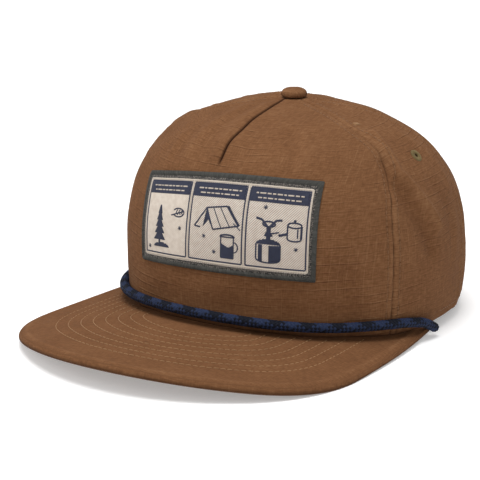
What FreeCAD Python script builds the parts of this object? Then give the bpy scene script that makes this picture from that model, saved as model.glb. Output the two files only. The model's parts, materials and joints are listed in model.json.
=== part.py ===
import FreeCAD, Part
import math
import os
import Sketcher
from FreeCAD import Placement, Rotation, Vector

# Five-panel rope cap, standing on a table. Front (brim) towards -Y, the wearer's left towards +X, +Z up.
# The origin is the middle of the head opening, level with the surface that the cap stands on.

doc = FreeCAD.newDocument("rope_cap")

# ---------------------------------------------------------------- driving dimensions (mm and degrees)
SHEET = {
    "crown_half_width": 84.6,
    "crown_front": 89.1,
    "crown_back": 99.4,
    "crown_height": 113.7,
    "apex_forward": 1.0,
    "temple_height": 5.1,
    "temple_forward": 3.7,
    "cloth": 0.9,
    "clearance": 0.3,
    "apex_hole_radius": 1.6,
    "front_seam_angle": 70.5,
    "back_seam_angle": 111.0,
    "dart_width": 0.8,
    "dart_foot_height": 88.0,
    "tape_width": 13.0,
    "tape_thickness": 0.6,
    "sweatband_height": 31.0,
    "sweatband_thickness": 1.6,
    "sweatband_end_angle": 128.0,
    "arch_radius": 56.0,
    "arch_centre_drop": 9.0,
    "binding_width": 3.6,
    "binding_thickness": 2.2,
    "brim_half_width": 93.8,
    "brim_widest": 89.7,
    "brim_front": 168.8,
    "brim_corner_radius": 70.0,
    "brim_arch_radius": 416.0,
    "brim_cover": 0.7,
    "brim_board": 1.5,
    "brim_board_inset": 2.0,
    "button_radius": 6.7,
    "button_height": 4.4,
    "tack_radius": 5.5,
    "shank_radius": 1.3,
    "eyelet_outer_radius": 3.9,
    "eyelet_inner_radius": 1.5,
    "patch_width": 101.0,
    "patch_height": 47.0,
    "patch_centre_x": 3.0,
    "patch_centre_z": 59.2,
    "patch_tilt": 3.0,
    "patch_thickness": 0.8,
    "border_width": 4.2,
    "border_thickness": 1.5,
    "rope_diameter": 5.2,
    "strap_height": 17.5,
    "strap_thickness": 1.6,
    "strap_bottom": 1.0,
    "strap_inner_radius": 89.2,
    "strap_centre_y": 0.4,
    "strap_root_angle": 28.4,
    "strap_overlap_angle": 7.0,
    "peg_pitch_angle": 6.0,
    "peg_height": 3.1,
    "peg_base_radius": 1.7,
    "peg_tip_radius": 1.3,
    "hole_radius": 2.4,
    "strap_corner_radius": 5.0,
    "root_length": 18.0,
}

sheet = doc.addObject("Spreadsheet::Sheet", "dims")
for row, (alias, value) in enumerate(SHEET.items(), start=1):
    sheet.set("A%d" % row, alias)
    sheet.set("B%d" % row, str(value))
    sheet.setAlias("B%d" % row, alias)
doc.recompute()


def dim(alias):
    """The value of one driving dimension, read back from the sheet."""
    return float(sheet.get(alias))


# ---------------------------------------------------------------- the crown's surface
# Each meridian is a Bezier curve of height against reach: "rise" lifts it off the hem, "spread" carries it
# inwards to the apex, and "bulge" swells it just above the hem. Front, side and back have their own values.
FRONT = {"rise": 0.739, "spread": 0.748, "bulge": -0.043}
SIDE = {"rise": 0.777, "spread": 0.792, "bulge": 0.149}
BACK = {"rise": 0.575, "spread": 0.639, "bulge": 0.012}
APEX_SLOPE = 0.065
FRONT_SHARE_POWER = 3.0


def meridian_shape(angle):
    """The Bezier values at an angle from the front, blended from the front, side and back meridians."""
    front_share = max(math.cos(angle), 0.0) ** FRONT_SHARE_POWER
    back_share = min(math.cos(angle), 0.0) ** 2
    side_share = 1.0 - front_share - back_share
    shares = ((FRONT, front_share), (SIDE, side_share), (BACK, back_share))
    return [sum(curve[key] * share for curve, share in shares) for key in ("rise", "spread", "bulge")]


def brim_height(x):
    """Height of the brim's top face, arched from side to side."""
    half_width = dim("crown_half_width")
    return dim("temple_height") + (half_width ** 2 - x ** 2) / (2.0 * dim("brim_arch_radius"))


def hem_height(x, y):
    """Height of the crown's lower edge: on the brim in front, then easing down to the table behind."""
    temple_y = -dim("temple_forward")
    if y <= temple_y:
        return brim_height(x)
    run = (y - temple_y) / (dim("crown_back") - temple_y)
    ease = run * run * (3.0 - 2.0 * run)
    return brim_height(x) * (1.0 - ease)


def reach_and_height(angle, climb):
    """The share of the hem's reach, and of the apex's height, that a meridian has at a climb from 0 to 1."""
    rise, spread, bulge = meridian_shape(angle)
    lift = 3.0 * (1.0 - climb) ** 2 * climb
    ease = 3.0 * (1.0 - climb) * climb ** 2
    reach = (1.0 - climb) ** 3 + lift * (1.0 + bulge) + ease * spread
    height = lift * rise + ease * (1.0 - APEX_SLOPE * spread) + climb ** 3
    return reach, height


def crown_point(angle, climb, inset):
    """A point of the crown. angle is from the front towards +X, climb runs from 0 at the hem to 1 at the apex."""
    reach, height = reach_and_height(angle, climb)
    length = dim("crown_front") if math.cos(angle) > 0 else dim("crown_back")
    hem_x = (dim("crown_half_width") - inset) * math.sin(angle)
    hem_y = -(length - inset) * math.cos(angle)
    hem_z = hem_height(hem_x, hem_y)
    apex_z = dim("crown_height") - inset
    y = hem_y * reach - dim("apex_forward") * (1.0 - reach)
    return Vector(hem_x * reach, y, hem_z + (apex_z - hem_z) * height)


def climb_at_height(angle, z, inset):
    """The climb at which a meridian reaches a height."""
    low, high = 0.0, 1.0
    for _ in range(40):
        middle = 0.5 * (low + high)
        if crown_point(angle, middle, inset).z < z:
            low = middle
        else:
            high = middle
    return 0.5 * (low + high)


def climb_at_radius(angle, radius, inset):
    """The climb at which a meridian comes within a radius of the apex."""
    apex = crown_point(angle, 1.0, inset)
    low, high = 0.5, 1.0
    for _ in range(40):
        middle = 0.5 * (low + high)
        point = crown_point(angle, middle, inset)
        if math.hypot(point.x - apex.x, point.y - apex.y) > radius:
            low = middle
        else:
            high = middle
    return 0.5 * (low + high)


def crown_at(x, z, behind, inset=0.0):
    """The angle and climb of the surface point at x and z, in front or behind."""
    angle = math.pi if behind else 0.0
    climb = 0.0
    for _ in range(30):
        climb = climb_at_height(angle, z, inset)
        reach, _ = reach_and_height(angle, climb)
        from_front = math.asin(x / ((dim("crown_half_width") - inset) * reach))
        angle = math.pi - from_front if behind else from_front
    return angle, climb


# ---------------------------------------------------------------- building blocks
nodes = {}


def keep(name, item):
    """Give a finished sub-part its label and list it for export."""
    item.Label = name
    nodes[name] = item
    return item


def patch_surface(place, inset, columns, rows):
    """A smooth surface through a grid of crown points; place(u, v) gives an angle and a climb."""
    grid = []
    for i in range(columns):
        line = []
        for j in range(rows):
            angle, climb = place(i / (columns - 1.0), j / (rows - 1.0))
            line.append(crown_point(angle, climb, inset))
        grid.append(line)
    surface = Part.BSplineSurface()
    surface.interpolate(grid)
    return surface


def cloth(name, place, outer_inset, inner_inset, columns=13, rows=13):
    """A thin piece that follows the crown: two surfaces and the four ruled edges between them."""
    outer = patch_surface(place, outer_inset, columns, rows)
    inner = patch_surface(place, inner_inset, columns, rows)
    faces = [outer.toShape(), inner.toShape()]
    u_low, u_high, v_low, v_high = outer.bounds()
    for u in (u_low, u_high):
        faces.append(Part.makeRuledSurface(outer.uIso(u).toShape(), inner.uIso(u).toShape()))
    for v in (v_low, v_high):
        faces.append(Part.makeRuledSurface(outer.vIso(v).toShape(), inner.vIso(v).toShape()))
    shell = Part.makeShell(faces)
    shell.sewShape()
    solid = Part.makeSolid(shell)
    if solid.Volume < 0:
        solid.reverse()
    feature = doc.addObject("Part::Feature", name)
    feature.Shape = solid
    feature.Placement = Placement()
    return feature


def bound(kind, name, **expressions):
    """A Part primitive with its sizes bound to the sheet."""
    item = doc.addObject(kind, name)
    for prop, expression in expressions.items():
        item.setExpression(prop, expression)
    return item


def cut(name, base, tool):
    result = doc.addObject("Part::Cut", name)
    result.Base = base
    result.Tool = tool
    return result


def common(name, base, tool):
    result = doc.addObject("Part::Common", name)
    result.Base = base
    result.Tool = tool
    return result


def joined(name, shapes):
    result = doc.addObject("Part::MultiFuse", name)
    result.Shapes = shapes
    return result


def origin_plane(body, role):
    return next(item for item in body.Origin.OriginFeatures if item.Role == role)


def sketch_on(body, role, name):
    sketch = body.newObject("Sketcher::SketchObject", name)
    sketch.AttachmentSupport = (origin_plane(body, role), [""])
    sketch.MapMode = "FlatFace"
    return sketch


def closed_profile(sketch, edges):
    """Add straight edges end to end and tie each end to the next start."""
    for edge in edges:
        sketch.addGeometry(edge, False)
    for index in range(len(edges)):
        following = (index + 1) % len(edges)
        sketch.addConstraint(Sketcher.Constraint("Coincident", index, 2, following, 1))


def meridian_band(angle_degrees, start_climb, end_climb, half_width):
    """Place function for a tape that runs up a meridian with a constant width."""
    middle = math.radians(angle_degrees)

    def place(u, v):
        climb = start_climb + (end_climb - start_climb) * v
        centre = crown_point(middle, climb, 0.0)
        nearby = crown_point(middle + 0.01, climb, 0.0)
        per_radian = max(centre.distanceToPoint(nearby) / 0.01, 2.0 * half_width)
        return middle + (2.0 * u - 1.0) * half_width / per_radian, climb
    return place


def angle_band(from_degrees, to_degrees, low_climb, high_climb):
    """Place function for a panel between two meridians."""
    def place(u, v):
        angle = math.radians(from_degrees + (to_degrees - from_degrees) * u)
        low = low_climb(angle)
        high = high_climb(angle)
        return angle, low + (high - low) * v
    return place


# ---------------------------------------------------------------- crown panels
panel_gap_degrees = 0.1
drill_length = 12.0


def panel(name, from_degrees, to_degrees):
    """One crown panel from the hem to the hole under the button."""
    place = angle_band(
        from_degrees + panel_gap_degrees,
        to_degrees - panel_gap_degrees,
        lambda angle: 0.0,
        lambda angle: climb_at_radius(angle, dim("apex_hole_radius"), 0.0),
    )
    return cloth(name, place, 0.0, dim("cloth"), columns=17, rows=21)


front_seam = dim("front_seam_angle")
back_seam = dim("back_seam_angle")

front_cloth = panel("front_cloth", -front_seam, front_seam)
dart_slot = bound(
    "Part::Box", "dart_slot",
    Length="dims.dart_width",
    Width="dims.crown_front - dims.apex_forward - dims.button_radius",
    Height="dims.crown_height - dims.dart_foot_height + 5",
)
dart_slot.Placement.Base = Vector(-0.5 * dim("dart_width"), -dim("crown_front"), dim("dart_foot_height"))
keep("front_panel", cut("front_cut", front_cloth, dart_slot))


def seated(angle_degrees, climb, inset):
    """Placement at a point of the crown, with +Z along its outward normal."""
    angle = math.radians(angle_degrees)
    point = crown_point(angle, climb, inset)
    along = crown_point(angle + 0.01, climb, inset) - crown_point(angle - 0.01, climb, inset)
    upward = crown_point(angle, climb + 0.01, inset) - crown_point(angle, climb - 0.01, inset)
    normal = along.cross(upward)
    if normal.dot(Vector(point.x, point.y, point.z - 40.0)) < 0:
        normal = normal * -1.0
    return Placement(point, Rotation(Vector(0, 0, 1), normal))


EYELETS = {
    "side_eyelet_left": (93.0, 0.50),
    "side_eyelet_right": (-93.0, 0.50),
    "back_eyelet_left": (147.0, 0.56),
    "back_eyelet_right": (-147.0, 0.56),
}


def eyelet_hole(name):
    """Drill for the hole that a thread eyelet lines."""
    drill = bound("Part::Cylinder", name + "_drill", Radius="dims.eyelet_outer_radius + 0.1")
    drill.Height = drill_length
    seat = seated(*EYELETS[name], 0.0)
    drill.Placement = Placement(seat.multVec(Vector(0, 0, -0.5 * drill_length)), seat.Rotation)
    return drill


def eyelet(name):
    """A ring of buttonhole thread, turned as a flat ring with rounded rims."""
    body = doc.addObject("PartDesign::Body", name + "_body")
    sketch = sketch_on(body, "XZ_Plane", name + "_section")
    inner = dim("eyelet_inner_radius")
    outer = dim("eyelet_outer_radius")
    low = -dim("cloth") - 0.2
    high = 0.5
    corners = [Vector(inner, low, 0), Vector(outer, low, 0), Vector(outer, high, 0), Vector(inner, high, 0)]
    closed_profile(sketch, [Part.LineSegment(corners[k], corners[(k + 1) % 4]) for k in range(4)])
    sketch.addConstraint(Sketcher.Constraint("Vertical", 1))
    sketch.addConstraint(Sketcher.Constraint("Vertical", 3))
    sketch.addConstraint(Sketcher.Constraint("Horizontal", 0))
    sketch.addConstraint(Sketcher.Constraint("Horizontal", 2))
    reach = sketch.addConstraint(Sketcher.Constraint("DistanceX", -1, 1, 1, 1, outer))
    bore = sketch.addConstraint(Sketcher.Constraint("DistanceX", -1, 1, 3, 2, inner))
    sketch.addConstraint(Sketcher.Constraint("DistanceY", -1, 1, 0, 1, low))
    sketch.addConstraint(Sketcher.Constraint("DistanceY", 0, 1, 3, 1, high - low))
    sketch.setExpression("Constraints[%d]" % reach, "dims.eyelet_outer_radius")
    sketch.setExpression("Constraints[%d]" % bore, "dims.eyelet_inner_radius")
    turn = body.newObject("PartDesign::Revolution", name + "_turn")
    turn.Profile = sketch
    turn.ReferenceAxis = (sketch, ["V_Axis"])
    turn.Angle = 360.0
    body.Tip = turn
    body.Placement = seated(*EYELETS[name], 0.0)
    return keep(name, body)


for side, sign in (("left", 1.0), ("right", -1.0)):
    ends = sorted((sign * front_seam, sign * back_seam))
    side_cloth = panel("side_cloth_" + side, ends[0], ends[1])
    keep("side_panel_" + side, cut("side_cut_" + side, side_cloth, eyelet_hole("side_eyelet_" + side)))

    ends = sorted((sign * back_seam, sign * 180.0))
    back_cloth = panel("back_cloth_" + side, ends[0], ends[1])
    arch = bound("Part::Cylinder", "arch_cutter_" + side, Radius="dims.arch_radius", Height="dims.crown_back")
    arch.Placement = Placement(
        Vector(0, 0.3 * dim("crown_back"), -dim("arch_centre_drop")),
        Rotation(Vector(1, 0, 0), -90),
    )
    cutters = joined("back_cutters_" + side, [arch, eyelet_hole("back_eyelet_" + side)])
    keep("back_panel_" + side, cut("back_cut_" + side, back_cloth, cutters))

for eyelet_name in EYELETS:
    eyelet(eyelet_name)


# ---------------------------------------------------------------- tapes, sweatband, arch binding
tape_outer = dim("cloth") + 0.15
tape_inner = tape_outer + dim("tape_thickness")
sweatband_outer = tape_inner + 0.15
sweatband_inner = sweatband_outer + dim("sweatband_thickness")
half_tape = 0.5 * dim("tape_width")
tape_top_radius = 20.0


def tape(name, degrees, start_height):
    """A binding tape over one seam, from a start height up to just short of the button tack."""
    angle = math.radians(degrees)
    low = climb_at_height(angle, start_height, 0.0) if start_height > 0 else 0.0
    high = climb_at_radius(angle, tape_top_radius, 0.0)
    place = meridian_band(degrees, low, high, half_tape)
    keep(name, cloth(name + "_cloth", place, tape_outer, tape_inner, columns=5, rows=17))


arch_top = dim("arch_radius") - dim("arch_centre_drop")
tape_overrun = 3.0
tape("dart_tape", 0.0, dim("dart_foot_height") - tape_overrun)
tape("front_seam_tape_left", front_seam, 0.0)
tape("front_seam_tape_right", -front_seam, 0.0)
tape("back_seam_tape_left", back_seam, 0.0)
tape("back_seam_tape_right", -back_seam, 0.0)
tape("centre_back_tape", 180.0, arch_top + tape_overrun)



def sweatband_top(angle):
    """The climb of the sweatband's upper edge, a constant height above the hem."""
    hem = crown_point(angle, 0.0, 0.0)
    return climb_at_height(angle, hem.z + dim("sweatband_height"), 0.0)


sweatband_end = dim("sweatband_end_angle")
sweatband_place = angle_band(-sweatband_end, sweatband_end, lambda angle: 0.0, sweatband_top)
sweatband = cloth("sweatband_cloth", sweatband_place, sweatband_outer, sweatband_inner, columns=41, rows=7)
keep("sweatband", sweatband)


def arch_ring(u, v):
    """Place function for the strip just inside the arched opening's edge."""
    radius = dim("arch_radius") - 0.15 - dim("binding_width") * v
    low_angle = math.asin((dim("arch_centre_drop") + 0.8) / radius)
    sweep = low_angle + (math.pi - 2.0 * low_angle) * u
    return crown_at(radius * math.cos(sweep), radius * math.sin(sweep) - dim("arch_centre_drop"), True)


binding_outer = -0.5 * (dim("binding_thickness") - dim("cloth"))
binding_inner = binding_outer + dim("binding_thickness")
keep("arch_binding", cloth("arch_binding_cloth", arch_ring, binding_outer, binding_inner, columns=33, rows=5))


# ---------------------------------------------------------------- patch
def patch_region(half_width, half_height):
    """Place function for a rectangle laid on the front of the crown, tilted a little."""
    tilt = math.radians(dim("patch_tilt"))

    def place(u, v):
        across = (2.0 * u - 1.0) * half_width
        up = (2.0 * v - 1.0) * half_height
        x = dim("patch_centre_x") + across * math.cos(tilt) - up * math.sin(tilt)
        z = dim("patch_centre_z") + across * math.sin(tilt) + up * math.cos(tilt)
        return crown_at(x, z, False)
    return place


half_patch_width = 0.5 * dim("patch_width")
half_patch_height = 0.5 * dim("patch_height")
border_width = dim("border_width")
window = patch_region(half_patch_width - border_width, half_patch_height - border_width)
frame_outside = patch_region(half_patch_width, half_patch_height)
frame_window = patch_region(half_patch_width - border_width + 0.1, half_patch_height - border_width + 0.1)
patch_back = -0.15
patch_front = patch_back - dim("patch_thickness")
border_front = patch_back - dim("border_thickness")
keep("patch_fabric", cloth("patch_cloth", window, patch_front, patch_back, columns=15, rows=9))
border_blank = cloth("border_blank", frame_outside, border_front, patch_back, columns=15, rows=9)
border_window = cloth("border_window", frame_window, border_front - 3.0, patch_back + 3.0, columns=15, rows=9)
keep("patch_border", cut("border_cut", border_blank, border_window))


# ---------------------------------------------------------------- brim
column_foot = -20.0
column_height = 60.0


def brim_outline(name, inset):
    """The brim's plan as a tall pad: temple line, side arcs, corner arcs and a front arc."""
    half = dim("brim_half_width") - inset
    widest = -dim("brim_widest")
    front = -(dim("brim_front") - inset)
    temple_x = dim("crown_half_width") + 1.0 - inset
    temple_y = -dim("temple_forward") - 1.0
    corner = dim("brim_corner_radius") - inset
    run = temple_y - widest
    bow = half - temple_x
    side_radius = (run * run + bow * bow) / (2.0 * bow)
    corner_x = half - corner
    depth = widest - front
    front_radius = (corner_x ** 2 + depth ** 2 - corner ** 2) / (2.0 * (depth - corner))
    front_centre = Vector(0, front + front_radius, 0)

    def sample(centre, radius, degrees):
        angle = math.radians(degrees)
        return centre + Vector(radius * math.cos(angle), radius * math.sin(angle), 0)

    meet = math.degrees(math.atan2(widest - front_centre.y, corner_x))
    side_end = math.degrees(math.asin(run / side_radius))
    right_side = Vector(half - side_radius, widest, 0)
    right_corner = Vector(corner_x, widest, 0)
    left_corner = Vector(-corner_x, widest, 0)
    left_side = Vector(side_radius - half, widest, 0)

    def arc(centre, radius, first, last):
        middle = 0.5 * (first + last)
        return Part.Arc(sample(centre, radius, first), sample(centre, radius, middle), sample(centre, radius, last))

    edges = [
        arc(right_side, side_radius, side_end, 0.0),
        arc(right_corner, corner, 0.0, meet),
        arc(front_centre, front_radius, meet, -180.0 - meet),
        arc(left_corner, corner, -180.0 - meet, -180.0),
        arc(left_side, side_radius, 180.0, 180.0 - side_end),
        Part.LineSegment(Vector(-temple_x, temple_y, 0), Vector(temple_x, temple_y, 0)),
    ]
    body = doc.addObject("PartDesign::Body", name)
    sketch = sketch_on(body, "XY_Plane", name + "_plan")
    for edge in edges:
        sketch.addGeometry(edge, False)
    for index in (1, 3):
        rule = sketch.addConstraint(Sketcher.Constraint("Radius", index, corner))
        sketch.setExpression("Constraints[%d]" % rule, "dims.brim_corner_radius - %g" % inset)
    pad = body.newObject("PartDesign::Pad", name + "_pad")
    pad.Profile = sketch
    pad.Length = column_height
    body.Tip = pad
    body.Placement = Placement(Vector(0, 0, column_foot), Rotation())
    return body


def arched_slab(name, drop, thickness):
    """A slab as long as the brim, arched from side to side, its top face a drop below the brim's top."""
    body = doc.addObject("PartDesign::Body", name)
    sketch = sketch_on(body, "XZ_Plane", name + "_section")
    radius = dim("brim_arch_radius")
    reach = dim("brim_half_width") + 6.0

    def level(x):
        return brim_height(0.0) - (radius - math.sqrt(radius ** 2 - x ** 2)) - drop

    top = Part.Arc(Vector(-reach, level(reach), 0), Vector(0, level(0.0), 0), Vector(reach, level(reach), 0))
    down = Vector(0, -thickness, 0)
    bottom = Part.Arc(
        Vector(reach, level(reach), 0) + down,
        Vector(0, level(0.0), 0) + down,
        Vector(-reach, level(reach), 0) + down,
    )
    right = Part.LineSegment(Vector(reach, level(reach), 0), Vector(reach, level(reach), 0) + down)
    left = Part.LineSegment(Vector(-reach, level(reach), 0) + down, Vector(-reach, level(reach), 0))
    for edge in (top, right, bottom, left):
        sketch.addGeometry(edge, False)
    for index in (0, 2):
        radius_rule = sketch.addConstraint(Sketcher.Constraint("Radius", index, radius))
        sketch.setExpression("Constraints[%d]" % radius_rule, "dims.brim_arch_radius")
    pad = body.newObject("PartDesign::Pad", name + "_pad")
    pad.Profile = sketch
    pad.setExpression("Length", "dims.brim_front + 10")
    body.Tip = pad
    return body


opening_plug = bound(
    "Part::Ellipse", "opening_plug",
    MajorRadius="dims.crown_front + dims.clearance",
    MinorRadius="dims.crown_half_width + dims.clearance",
)
opening_plug.Placement = Placement(Vector(0, 0, column_foot), Rotation(Vector(0, 0, 1), 90))
opening_column = doc.addObject("Part::Extrusion", "opening_column")
opening_column.Base = opening_plug
opening_column.DirMode = "Custom"
opening_column.Dir = Vector(0, 0, 1)
opening_column.LengthFwd = column_height
opening_column.Solid = True


def brim_layer(name, drop, thickness, inset):
    """One layer of the brim: the plan cut from an arched slab, with the crown's opening taken out."""
    slab = arched_slab(name + "_slab", drop, thickness)
    blank = common(name + "_blank", slab, brim_outline(name + "_outline", inset))
    keep(name, cut(name + "_cut", blank, opening_column))


cover = dim("brim_cover")
board = dim("brim_board")
layer_gap = 0.05
brim_layer("brim_top_cover", 0.0, cover, 0.0)
brim_layer("brim_board", cover + layer_gap, board, dim("brim_board_inset"))
brim_layer("brim_under_cover", cover + board + 2.0 * layer_gap, cover, 0.0)


# ---------------------------------------------------------------- rope
# The route of the rope's middle line, from the wearer's right temple across the front to the left one.
ROPE_ROUTE = [
    (-88.5, -3.0, 3.6),
    (-88.4, -8.8, 7.2),
    (-87.0, -17.8, 10.6),
    (-83.3, -31.8, 12.6),
    (-75.1, -49.3, 13.8),
    (-63.7, -64.7, 15.2),
    (-47.0, -79.0, 17.2),
    (-24.4, -89.5, 19.0),
    (0.0, -93.2, 19.8),
    (24.4, -89.5, 18.8),
    (47.0, -79.0, 16.8),
    (63.7, -64.7, 15.1),
    (75.1, -49.3, 14.1),
    (83.3, -31.8, 12.7),
    (87.0, -17.8, 10.7),
    (88.4, -8.8, 7.2),
    (88.5, -3.0, 3.6),
]


def cord_path(points):
    """Straight runs joined by tangent arcs, each arc as large as its two runs allow."""
    share = 0.45  # of the shorter run at a corner that its arc may use
    corners = [Vector(*point) for point in points]
    edges = []
    start = corners[0]
    radii = []
    for before, corner, after in zip(corners, corners[1:], corners[2:]):
        back = (before - corner).normalize()
        ahead = (after - corner).normalize()
        shorter = min(corner.distanceToPoint(before), corner.distanceToPoint(after))
        setback = share * shorter
        half_turn = 0.5 * (math.pi - back.getAngle(ahead))
        radii.append(setback / math.tan(half_turn))
        first = corner + back * setback
        last = corner + ahead * setback
        inward = (back + ahead).normalize()
        middle = corner + inward * (radii[-1] / math.cos(half_turn) - radii[-1])
        edges.append(Part.LineSegment(start, first).toShape())
        edges.append(Part.Arc(first, middle, last).toShape())
        start = last
    edges.append(Part.LineSegment(start, corners[-1]).toShape())
    return Part.Wire(edges), radii


rope_path, rope_radii = cord_path(ROPE_ROUTE)
rope_radius = 0.5 * dim("rope_diameter")
rope_start = Vector(*ROPE_ROUTE[0])
rope_direction = Vector(*ROPE_ROUTE[1]) - rope_start
rope_section = Part.Wire([Part.Circle(rope_start, rope_direction, rope_radius).toShape()])
rope = doc.addObject("Part::Feature", "rope_tube")
rope.Shape = rope_path.makePipeShell([rope_section], True, False)
rope.Placement = Placement()
keep("rope", rope)


# ---------------------------------------------------------------- button
def turned_body(name, points, placement):
    """A PartDesign body turned about its own Z axis from a closed outline of radius and height pairs."""
    body = doc.addObject("PartDesign::Body", name + "_body")
    sketch = sketch_on(body, "XZ_Plane", name + "_section")
    corners = [Vector(radius, height, 0) for radius, height in points]
    count = len(corners)
    closed_profile(sketch, [Part.LineSegment(corners[k], corners[(k + 1) % count]) for k in range(count)])
    turn = body.newObject("PartDesign::Revolution", name + "_turn")
    turn.Profile = sketch
    turn.ReferenceAxis = (sketch, ["V_Axis"])
    turn.Angle = 360.0
    body.Tip = turn
    body.Placement = placement
    return keep(name, body)


button_seat = Placement(Vector(0, -dim("apex_forward"), dim("crown_height") + 0.15), Rotation())
button_radius = dim("button_radius")
button_height = dim("button_height")
cover_skin = 0.5
shank = dim("shank_radius")


def dome_outline(radius, height, foot):
    """Half section of a low round-shouldered dome."""
    shoulder = 0.45
    return [
        (radius * 0.9, foot),
        (radius, foot + 0.25 * (height - foot)),
        (radius * 0.97, foot + 0.6 * (height - foot)),
        (radius * 0.82, foot + 0.85 * (height - foot)),
        (radius * shoulder, foot + 0.97 * (height - foot)),
        (0.0, height),
    ]


inner_radius = button_radius - cover_skin
inner_height = button_height - cover_skin
cover_points = dome_outline(button_radius, button_height, 0.0)
cover_points += list(reversed(dome_outline(inner_radius, inner_height, 0.0)))
turned_body("button_cover", cover_points, button_seat)
shell_skin = 0.7
shell_gap = 0.05
shell_points = dome_outline(inner_radius - shell_gap, inner_height - shell_gap, 0.1)
shell_points += list(reversed(dome_outline(inner_radius - shell_skin, inner_height - shell_skin, 0.1)))
turned_body("button_shell", shell_points, button_seat)
tack_drop = dim("cloth") + 1.6
tack_points = [
    (0.0, -tack_drop - 1.2),
    (dim("tack_radius"), -tack_drop - 0.6),
    (dim("tack_radius"), -tack_drop),
    (shank, -tack_drop),
    (shank, inner_height - shell_skin - 0.4),
    (0.0, inner_height - shell_skin - 0.1),
]
turned_body("button_tack", tack_points, button_seat)


# ---------------------------------------------------------------- back closure
def strap_band(name, inner_radius, from_degrees, to_degrees, free_degrees):
    """A curved flat strap with its free end's corners rounded."""
    body = doc.addObject("PartDesign::Body", name)
    sketch = sketch_on(body, "XY_Plane", name + "_section")
    outer_radius = inner_radius + dim("strap_thickness")
    centre = Vector(0, dim("strap_centre_y"), 0)

    def on_arc(radius, degrees):
        angle = math.radians(90.0 - degrees)
        return centre + Vector(radius * math.cos(angle), radius * math.sin(angle), 0)

    middle = 0.5 * (from_degrees + to_degrees)
    sketch.addGeometry(Part.Arc(*[on_arc(outer_radius, d) for d in (from_degrees, middle, to_degrees)]), False)
    sketch.addGeometry(Part.LineSegment(on_arc(outer_radius, to_degrees), on_arc(inner_radius, to_degrees)), False)
    sketch.addGeometry(Part.Arc(*[on_arc(inner_radius, d) for d in (to_degrees, middle, from_degrees)]), False)
    sketch.addGeometry(Part.LineSegment(on_arc(inner_radius, from_degrees), on_arc(outer_radius, from_degrees)), False)
    pad = body.newObject("PartDesign::Pad", name + "_pad")
    pad.Profile = sketch
    pad.setExpression("Length", "dims.strap_height")
    body.Tip = pad
    doc.recompute()
    free_end = on_arc(0.5 * (inner_radius + outer_radius), free_degrees)
    corners = []
    for index, edge in enumerate(pad.Shape.Edges, start=1):
        centre_point = edge.CenterOfMass
        flat = Vector(centre_point.x, centre_point.y, 0)
        if flat.distanceToPoint(free_end) < 0.2 and edge.Length < 2.0 * dim("strap_thickness"):
            corners.append("Edge%d" % index)
    rounding = body.newObject("PartDesign::Fillet", name + "_corners")
    rounding.Base = (pad, corners)
    rounding.setExpression("Radius", "dims.strap_corner_radius")
    body.Tip = rounding
    body.Placement = Placement(Vector(0, 0, dim("strap_bottom")), Rotation())
    return body


def strap_spot(degrees, radius):
    """A placement on the strap's middle line, with +Z pointing radially outwards."""
    angle = math.radians(90.0 - degrees)
    outward = Vector(math.cos(angle), math.sin(angle), 0)
    height = dim("strap_bottom") + 0.5 * dim("strap_height")
    base = Vector(0, dim("strap_centre_y"), height) + outward * radius
    return Placement(base, Rotation(Vector(0, 0, 1), outward))


root_angle = dim("strap_root_angle")
overlap = dim("strap_overlap_angle")
pitch = dim("peg_pitch_angle")
peg_inner = dim("strap_inner_radius")
hole_inner = peg_inner + dim("strap_thickness") + dim("clearance")
snap_count = 5

hole_band = strap_band("hole_band", hole_inner, -root_angle, overlap, overlap)
drills = []
for number in range(snap_count):
    drill = bound("Part::Cylinder", "snap_drill_%d" % number, Radius="dims.hole_radius", Height="8")
    drill.Placement = strap_spot(0.5 * pitch - number * pitch, hole_inner - 3.0)
    drills.append(drill)
keep("hole_strap", cut("hole_strap_cut", hole_band, joined("snap_drills", drills)))

peg_band = strap_band("peg_band", peg_inner, -overlap, root_angle, -overlap)
pegs = [peg_band]
for number in range(snap_count):
    peg = bound(
        "Part::Cone", "peg_%d" % number,
        Radius1="dims.peg_base_radius",
        Radius2="dims.peg_tip_radius",
        Height="dims.peg_height + 0.5",
    )
    peg.Placement = strap_spot(number * pitch - 0.5 * pitch, peg_inner + dim("strap_thickness") - 0.5)
    pegs.append(peg)
keep("peg_strap", joined("peg_strap_fuse", pegs))


def strap_root(name, sign, strap_inner_radius):
    """The sewn-in end of a strap: a flat tab inside the back panel that carries on the strap's line."""
    thickness = dim("strap_thickness")
    start = math.radians(root_angle)
    root_x = (strap_inner_radius + thickness) * math.sin(start) + dim("clearance")
    root_y = dim("strap_centre_y") + strap_inner_radius * math.cos(start)
    height = dim("strap_bottom") + 0.5 * dim("strap_height")
    angle, climb = crown_at(root_x, height, True)
    inner_inset = 0.0
    while crown_point(angle, climb, inner_inset).y > root_y:
        inner_inset += 0.05
    low = dim("strap_bottom")
    high = low + dim("strap_height")

    def place(u, v):
        x = sign * (root_x + dim("root_length") * u)
        return crown_at(x, low + (high - low) * v, True, inner_inset)
    keep(name, cloth(name + "_cloth", place, inner_inset - thickness, inner_inset, columns=7, rows=5))


strap_root("strap_root_right", -1.0, hole_inner)
strap_root("strap_root_left", 1.0, peg_inner)


# ---------------------------------------------------------------- check and export
doc.recompute()
problems = []
for item in doc.Objects:
    if "Invalid" in item.State or "Error" in item.State:
        problems.append("%s is %s" % (item.Name, item.State))
for name, item in nodes.items():
    shape = item.Shape
    if shape.isNull() or not shape.isValid() or shape.Volume <= 0:
        problems.append("%s has no valid solid" % name)
if problems:
    raise SystemExit("\n".join(problems))

rope_length = rope_path.Length
rope_volume = math.pi * rope_radius ** 2 * rope_length
print("rope length %.1f mm, volume ratio %.4f" % (rope_length, nodes["rope"].Shape.Volume / rope_volume))
print("rope bend radii " + ", ".join("%.0f" % radius for radius in rope_radii))

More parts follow.
